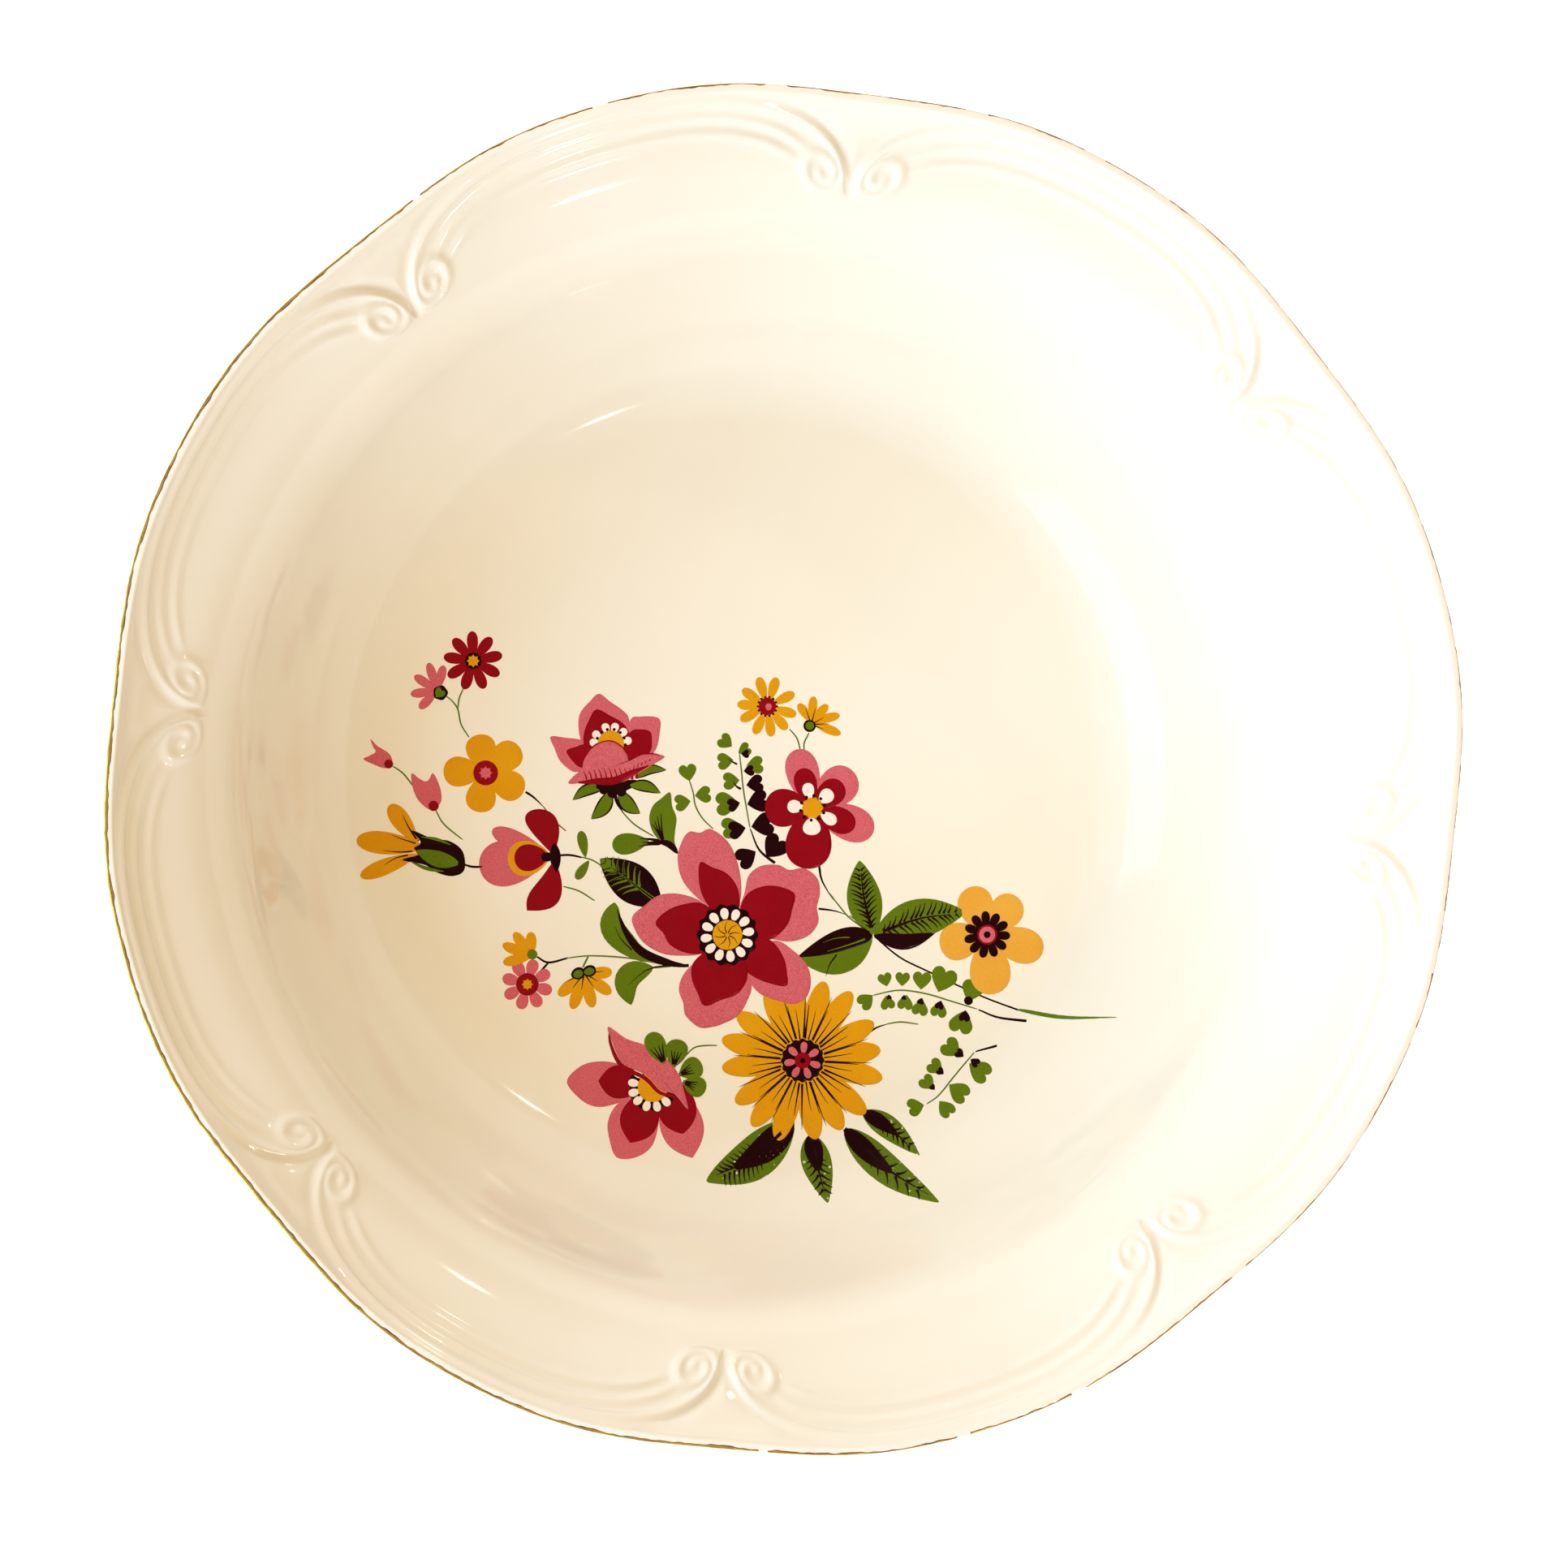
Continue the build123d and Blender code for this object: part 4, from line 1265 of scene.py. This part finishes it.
def orange_windflower():
    blooms = petals(ORANGE_WINDFLOWER, ((46.4, -22.9), 7.4), ((56.6, -25.0), 7.0), ((61.9, -36.2), 7.4),
                    ((51.3, -44.9), 8.6), ((40.4, -34.8), 7.8), waist=0.3)
    return [
        ("orange", 2, blooms),
        ("red", 7, [disc(ORANGE_WINDFLOWER, 2.15)]),
        ("pink", 8, [disc(ORANGE_WINDFLOWER, 1.75)]),
        ("dark", 9, [disc(ORANGE_WINDFLOWER, 0.8)]),
    ]


def flat_heart_sprig():
    stalk = [
        (26.5, -44.9), (31.9, -43.9), (37.4, -44.6), (42.8, -46.2), (48.3, -47.9), (52.6, -49.6),
        (58.4, -50.3),
    ]
    return [
        (
            "green", 1,
            hearts(
                stalk, (29.1, -41.7, 2.8), (32.7, -41.6, 2.9), (36.7, -41.9, 3.7), (41.1, -41.8, 5.2),
                (47.1, -44.1, 4.4), (25.2, -46.0, 3.4), (29.6, -46.4, 2.9), (33.3, -46.4, 3.1),
                (36.4, -47.5, 3.3), (40.3, -47.9, 3.3), (45.0, -50.5, 4.8),
            )
            + [stem(*stalk[:5])],
        ),
        (
            "dark", 3,
            hearts(
                stalk, (36.5, -46.2, 1.5), (40.4, -47.0, 1.9), (45.6, -49.3, 2.4), (33.0, -45.4, 1.1),
                (29.9, -45.3, 1.1),
            )
            + [disc((46.4, -46.1), 0.95)],
        ),
        ("dark", 0, [strip(stalk[4:], lambda t: 0.18 + 0.14 * t, 12)]),
    ]


def low_heart_sprig():
    stalk = [(37.4, -67.2), (40.1, -65.3), (43.4, -61.5), (47.7, -56.6), (52.3, -55.3)]
    return [
        (
            "green", 0,
            hearts(
                stalk, (42.9, -55.9, 4.1), (48.3, -60.3, 4.4), (39.6, -59.7, 3.3), (37.9, -62.9, 3.2),
                (43.9, -64.5, 4.1), (35.3, -67.7, 3.4), (41.1, -67.8, 3.3),
            )
            + [stem(*stalk[:4])],
        ),
        (
            "dark", 1,
            hearts(stalk, (44.6, -57.0, 2.0), (47.6, -58.7, 2.0), (40.6, -60.6, 1.7), (38.9, -63.8, 1.3))
            + [strip(stalk[3:], lambda t: 0.16 + 0.12 * t, 8)],
        ),
    ]


# Each motif is laid on the CAD film that is named print_ and the motif's own name.
MOTIFS = (
    cream_rays, dark_eyes, main_flower_points, red_windflower_points, dark_daisy, pink_half_daisy,
    yellow_windflower, tulip_buds, trumpet_flower, side_flower, rose, rose_leaves,
    three_heart_sprig, heart_fern, yellow_daisy, yellow_half_daisy, pink_windflower, main_flower,
    yellow_marguerite, low_leaves, side_poppy, bud_cluster, side_leaves, triple_leaves,
    orange_windflower, flat_heart_sprig, low_heart_sprig,
)


def laid(points, lift):
    """Flat points of the print laid on the well, at these heights above its glaze."""
    turn = math.radians(PRINT_TURN)
    x = points[:, 0] * math.cos(turn) - points[:, 1] * math.sin(turn)
    y = points[:, 0] * math.sin(turn) + points[:, 1] * math.cos(turn)
    radius = np.hypot(x, y)
    height, slope = surface(radius)
    inward = lift * np.sin(slope) / np.maximum(radius, 1e-6)
    return np.column_stack([x * (1 - inward), y * (1 - inward), height + lift * np.cos(slope)])


def counterclockwise(points, faces):
    """The faces turned so that they all face up."""
    first = points[list(faces[len(faces) // 2][:3])]
    (ax, ay), (bx, by) = first[1] - first[0], first[2] - first[0]
    return [face[::-1] for face in faces] if ax * by - ay * bx < 0 else faces


def printed(inks):
    """Every patch of the print as a piece of its own colour."""
    for motif in MOTIFS:
        node = f"print_{motif.__name__}"
        patches = {}
        for colour, layer, shapes in motif():
            patches.setdefault(colour, []).extend((layer, shape) for shape in shapes)
        for colour, layered in patches.items():
            points, faces = [], []
            for number, (layer, (flat, share, shape_faces)) in enumerate(layered):
                start = sum(len(block) for block in points)
                top = FIRST_LIFT + LAYER_LIFT * layer + SHAPE_LIFT * (number * GOLDEN_SHARE % 1)
                lift = np.where(share > 0, top, share * FIRST_LIFT)
                points.append(laid(flat, lift))
                faces += [tuple(start + i for i in face) for face in counterclockwise(flat, shape_faces)]
            ink = inks["worn_green" if node == "print_low_leaves" and colour == "green" else colour]
            piece = mesh_object(f"{node}.{colour}", np.vstack(points), faces, [ink])
            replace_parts(piece, node)


# ------------------------------------------------------------------------------
# Materials


def srgb(red, green, blue):
    """A colour given in 0 to 255 steps, as linear values."""
    parts = [value / 255 for value in (red, green, blue)]
    return tuple(p / 12.92 if p <= 0.04045 else ((p + 0.055) / 1.055) ** 2.4 for p in parts) + (1.0,)


class Shader:
    """A new material and short ways to add its nodes. Patterns use the piece's own place in metres."""

    def __init__(self, name, roughness, metallic=0.0):
        self.material = bpy.data.materials.new(name)
        self.material.use_nodes = True
        self.tree = self.material.node_tree
        self.shader = self.tree.nodes["Principled BSDF"]
        self.shader.inputs["Roughness"].default_value = roughness
        self.shader.inputs["Metallic"].default_value = metallic
        self.place = self.tree.nodes.new("ShaderNodeTexCoord").outputs["Object"]

    def link(self, source, socket):
        self.tree.links.new(source, socket)

    def noise(self, scale, detail=3.0):
        node = self.tree.nodes.new("ShaderNodeTexNoise")
        node.inputs["Scale"].default_value = scale
        node.inputs["Detail"].default_value = detail
        self.link(self.place, node.inputs["Vector"])
        return node.outputs["Fac"]

    def cells(self, scale):
        node = self.tree.nodes.new("ShaderNodeTexVoronoi")
        node.inputs["Scale"].default_value = scale
        self.link(self.place, node.inputs["Vector"])
        return node

    def span(self, value, low, high, to_low=0.0, to_high=1.0):
        node = self.tree.nodes.new("ShaderNodeMapRange")
        node.inputs["From Min"].default_value = low
        node.inputs["From Max"].default_value = high
        node.inputs["To Min"].default_value = to_low
        node.inputs["To Max"].default_value = to_high
        self.link(value, node.inputs["Value"])
        return node.outputs["Result"]

    def times(self, a, b):
        node = self.tree.nodes.new("ShaderNodeMath")
        node.operation = "MULTIPLY"
        self.link(a, node.inputs[0])
        self.link(b, node.inputs[1])
        return node.outputs["Value"]

    def mix(self, share, a, b):
        """Colour a where share is 0 and b where it is 1. Each is a colour or another node's output."""
        node = self.tree.nodes.new("ShaderNodeMix")
        node.data_type = "RGBA"
        self.link(share, node.inputs["Factor"])
        for name, value in (("A", a), ("B", b)):
            socket = next(s for s in node.inputs if s.name == name and s.type == "RGBA")
            if isinstance(value, tuple):
                socket.default_value = value
            else:
                self.link(value, socket)
        return next(s for s in node.outputs if s.type == "RGBA")

    def bump(self, height, distance, strength=1.0):
        node = self.tree.nodes.new("ShaderNodeBump")
        node.inputs["Distance"].default_value = distance
        node.inputs["Strength"].default_value = strength
        self.link(height, node.inputs["Height"])
        self.link(node.outputs["Normal"], self.shader.inputs["Normal"])

    def colour(self, output):
        self.link(output, self.shader.inputs["Base Color"])

    def roughness(self, output):
        self.link(output, self.shader.inputs["Roughness"])


def glaze_material():
    """Clear glaze over ivory porcelain: faint clouds, a few iron specks, and a slightly wavy gloss."""
    s = Shader("glazed_porcelain", 0.08)
    clouds = s.mix(s.span(s.noise(14), 0.35, 0.65), srgb(249, 242, 226), srgb(246, 238, 219))
    specks = s.cells(70)
    small = s.span(specks.outputs["Distance"], 0.012, 0.024, 1.0, 0.0)
    rare = s.span(specks.outputs["Color"], 0.80, 0.82)
    s.colour(s.mix(s.times(small, rare), clouds, srgb(120, 96, 70)))
    s.roughness(s.span(s.noise(60), 0.3, 0.7, 0.05, 0.11))
    s.bump(s.noise(26, 2.0), 0.0006, 0.35)
    return s.material


def bare_material():
    """Unglazed porcelain on the tread: matt, a little grey, with grit and wear."""
    s = Shader("bare_porcelain", 0.75)
    grit = s.noise(900, 4.0)
    s.colour(s.mix(s.span(s.noise(120), 0.4, 0.7), srgb(226, 216, 196), srgb(198, 186, 164)))
    s.roughness(s.span(grit, 0.3, 0.7, 0.65, 0.9))
    s.bump(grit, 0.0002, 0.6)
    return s.material


def gilt_material():
    """Thin fired gold, rubbed in places."""
    s = Shader("gilt", 0.28, 1.0)
    rubbed = s.span(s.noise(240, 5.0), 0.42, 0.62)
    s.colour(s.mix(rubbed, srgb(250, 222, 120), srgb(206, 160, 62)))
    s.roughness(s.span(s.noise(500), 0.3, 0.7, 0.2, 0.42))
    s.bump(s.noise(700), 0.00005, 0.5)
    return s.material


def stain_material():
    """The brown edge where the gold has worn thin."""
    s = Shader("gilt_stain", 0.5)
    s.colour(s.mix(s.span(s.noise(420, 4.0), 0.35, 0.65), srgb(96, 58, 20), srgb(150, 104, 48)))
    s.bump(s.noise(700), 0.00005, 0.5)
    return s.material


def ink_material(name, main, second, stipple, third=None):
    """Printed enamel: a fine stipple of two tones, slow clouds, and the glaze's gloss."""
    s = Shader(name, 0.16)
    s.shader.inputs["Specular IOR Level"].default_value = INK_GLOSS
    grain = s.span(s.noise(4200, 1.0), 0.5 - stipple, 0.5 + stipple)
    tone = s.mix(grain, main, second)
    clouds = s.span(s.noise(110), 0.45, 0.8, 0.0, 0.5)
    s.colour(s.mix(clouds, tone, third or main))
    s.roughness(s.span(s.noise(300), 0.3, 0.7, 0.12, 0.24))
    s.bump(s.noise(900), 0.00003, 0.4)
    return s.material


def worn_ink_material(name, main, second, bare):
    """Printed enamel with short scratches and pits down to the glaze."""
    s = Shader(name, 0.18)
    s.shader.inputs["Specular IOR Level"].default_value = INK_GLOSS
    tone = s.mix(s.span(s.noise(2400), 0.3, 0.7), main, second)
    pits = s.cells(900)
    scratched = s.span(pits.outputs["Distance"], 0.22, 0.3, 1.0, 0.0)
    rare = s.span(pits.outputs["Color"], 0.62, 0.66)
    s.colour(s.mix(s.times(scratched, rare), tone, bare))
    s.roughness(s.span(s.noise(300), 0.3, 0.7, 0.14, 0.3))
    s.bump(s.noise(900), 0.00003, 0.4)
    return s.material


def ink_materials():
    """One material for each printed colour."""
    return {
        "pink": ink_material(
            "enamel_pink", srgb(219, 112, 120), srgb(197, 77, 90), 0.2, srgb(215, 104, 113),
        ),
        "red": ink_material("enamel_red", srgb(148, 0, 22), srgb(134, 0, 16), 0.2, srgb(156, 2, 26)),
        "yellow": ink_material(
            "enamel_yellow", srgb(226, 158, 10), srgb(216, 143, 6), 0.2, srgb(231, 168, 18),
        ),
        "orange": ink_material(
            "enamel_orange", srgb(233, 170, 62), srgb(226, 157, 50), 0.2, srgb(237, 178, 74),
        ),
        "green": ink_material("enamel_green", srgb(99, 122, 14), srgb(85, 106, 8), 0.2, srgb(107, 131, 19)),
        "dark": ink_material("enamel_dark", srgb(34, 0, 5), srgb(26, 0, 3), 0.2, srgb(40, 0, 7)),
        "cream": ink_material("enamel_cream", srgb(250, 240, 228), srgb(244, 230, 216), 0.3),
        "worn_green": worn_ink_material(
            "enamel_green_worn", srgb(99, 122, 14), srgb(85, 106, 8), srgb(208, 214, 166),
        ),
    }


def floor_material():
    """A pale even studio floor."""
    s = Shader("studio_floor", 0.8)
    s.colour(s.mix(s.noise(3), srgb(250, 250, 249), srgb(246, 246, 245)))
    s.shader.inputs["Emission Color"].default_value = (1.0, 1.0, 1.0, 1.0)
    s.shader.inputs["Emission Strength"].default_value = FLOOR_GLOW
    return s.material


# ------------------------------------------------------------------------------
# Camera, floor and light

RIGHT = Vector((math.cos(math.radians(PRINT_TURN)), math.sin(math.radians(PRINT_TURN)), 0.0))
UP = Vector((-RIGHT.y, RIGHT.x, 0.0))
CAMERA_AT = (-65.0, -8.0, 404.2)
CAMERA_LEAN = 3.5         # degrees by which the camera looks to the right of straight down
CAMERA_TIP = 1.0          # degrees by which it looks towards the lower edge
LENS = 45.0
SENSOR_WIDTH = 36.0
SHIFT = (0.155, 0.02)
FLOOR_REACH = 6.0         # metres from the middle to the floor's sides
FLOOR_GAP = 0.0002        # the floor lies this many metres under the foot
FLOOR_GLOW = 0.6
WORLD_COLOUR = (1.0, 0.78, 0.52, 1.0)
WORLD_STRENGTH = 0.45


def plan(right, up, height):
    """A point in metres given by its distances in millimetres to the right and up in the picture."""
    return (RIGHT * right + UP * up + Vector((0, 0, height))) * MM


def add_camera():
    """Looks almost straight down at the bowl from a little to the left."""
    lean, tip = math.radians(CAMERA_LEAN), math.radians(CAMERA_TIP)
    forward = Vector((0, 0, -1)) * math.cos(lean) + RIGHT * math.sin(lean)
    right = RIGHT * math.cos(lean) + Vector((0, 0, 1)) * math.sin(lean)
    up = right.cross(forward)
    forward = forward * math.cos(tip) - up * math.sin(tip)
    up = right.cross(forward)
    camera = bpy.data.objects.new("camera", bpy.data.cameras.new("camera"))
    bpy.context.scene.collection.objects.link(camera)
    turn = Matrix((right, up, -forward)).transposed().to_4x4()
    camera.matrix_world = Matrix.Translation(Vector(CAMERA_AT) * MM) @ turn
    camera.data.lens = LENS
    camera.data.sensor_width = SENSOR_WIDTH
    camera.data.shift_x, camera.data.shift_y = SHIFT
    camera.data.clip_start = 0.01
    bpy.context.scene.camera = camera


def add_light(name, at, size, power, colour, shows=True):
    """A soft square lamp at a place in the picture's directions, turned to the bowl. shows: it reflects."""
    lamp = bpy.data.lights.new(name, "AREA")
    lamp.size = size
    lamp.energy = power
    lamp.color = colour
    light = bpy.data.objects.new(name, lamp)
    bpy.context.scene.collection.objects.link(light)
    light.location = plan(*at)
    direction = plan(0, 0, 20) - light.location
    light.rotation_euler = direction.to_track_quat("-Z", "Y").to_euler()
    light.visible_glossy = shows


def add_studio():
    """A pale floor, soft cool windows on three sides, a warm fill, and small lamps that glint."""
    floor = bpy.data.meshes.new("studio_floor")
    corners = [(x * FLOOR_REACH, y * FLOOR_REACH, 0) for x, y in ((-1, -1), (1, -1), (1, 1), (-1, 1))]
    floor.from_pydata(corners, [], [(0, 1, 2, 3)])
    floor.materials.append(floor_material())
    ground = bpy.data.objects.new("studio_floor", floor)
    ground.location.z = -FLOOR_GAP
    ground.visible_diffuse = False  # so the white floor doesn't wash out the bowl's outside
    bpy.context.scene.collection.objects.link(ground)

    world = bpy.data.worlds.new("studio")
    world.use_nodes = True
    background = world.node_tree.nodes["Background"]
    background.inputs["Color"].default_value = WORLD_COLOUR
    background.inputs["Strength"].default_value = WORLD_STRENGTH
    bpy.context.scene.world = world

    add_light("key_window", (-1490, -460, 580), 2.0, 29.0, (0.34, 0.65, 1.0))
    add_light("far_window", (-950, 1250, 560), 1.4, 23.0, (0.73, 0.84, 1.0), shows=False)
    add_light("near_window", (-500, -1500, 600), 1.4, 26.0, (0.65, 0.78, 1.0), shows=False)
    add_light("overhead", (0, 0, 1700), 1.2, 6.5, (1.0, 0.74, 0.40), shows=False)
    add_light("warm_lamp", (620, 640, 620), 0.04, 0.5, (1.0, 0.88, 0.7))
    add_light("small_lamp", (420, -560, 900), 0.04, 0.6, (1.0, 0.93, 0.84))
    bpy.context.scene.view_settings.view_transform = "Standard"


def main():
    glaze = glaze_material()
    body_mesh(glaze)
    foot(glaze, bare_material())
    gilding(gilt_material(), stain_material())
    printed(ink_materials())
    add_camera()
    add_studio()


main()
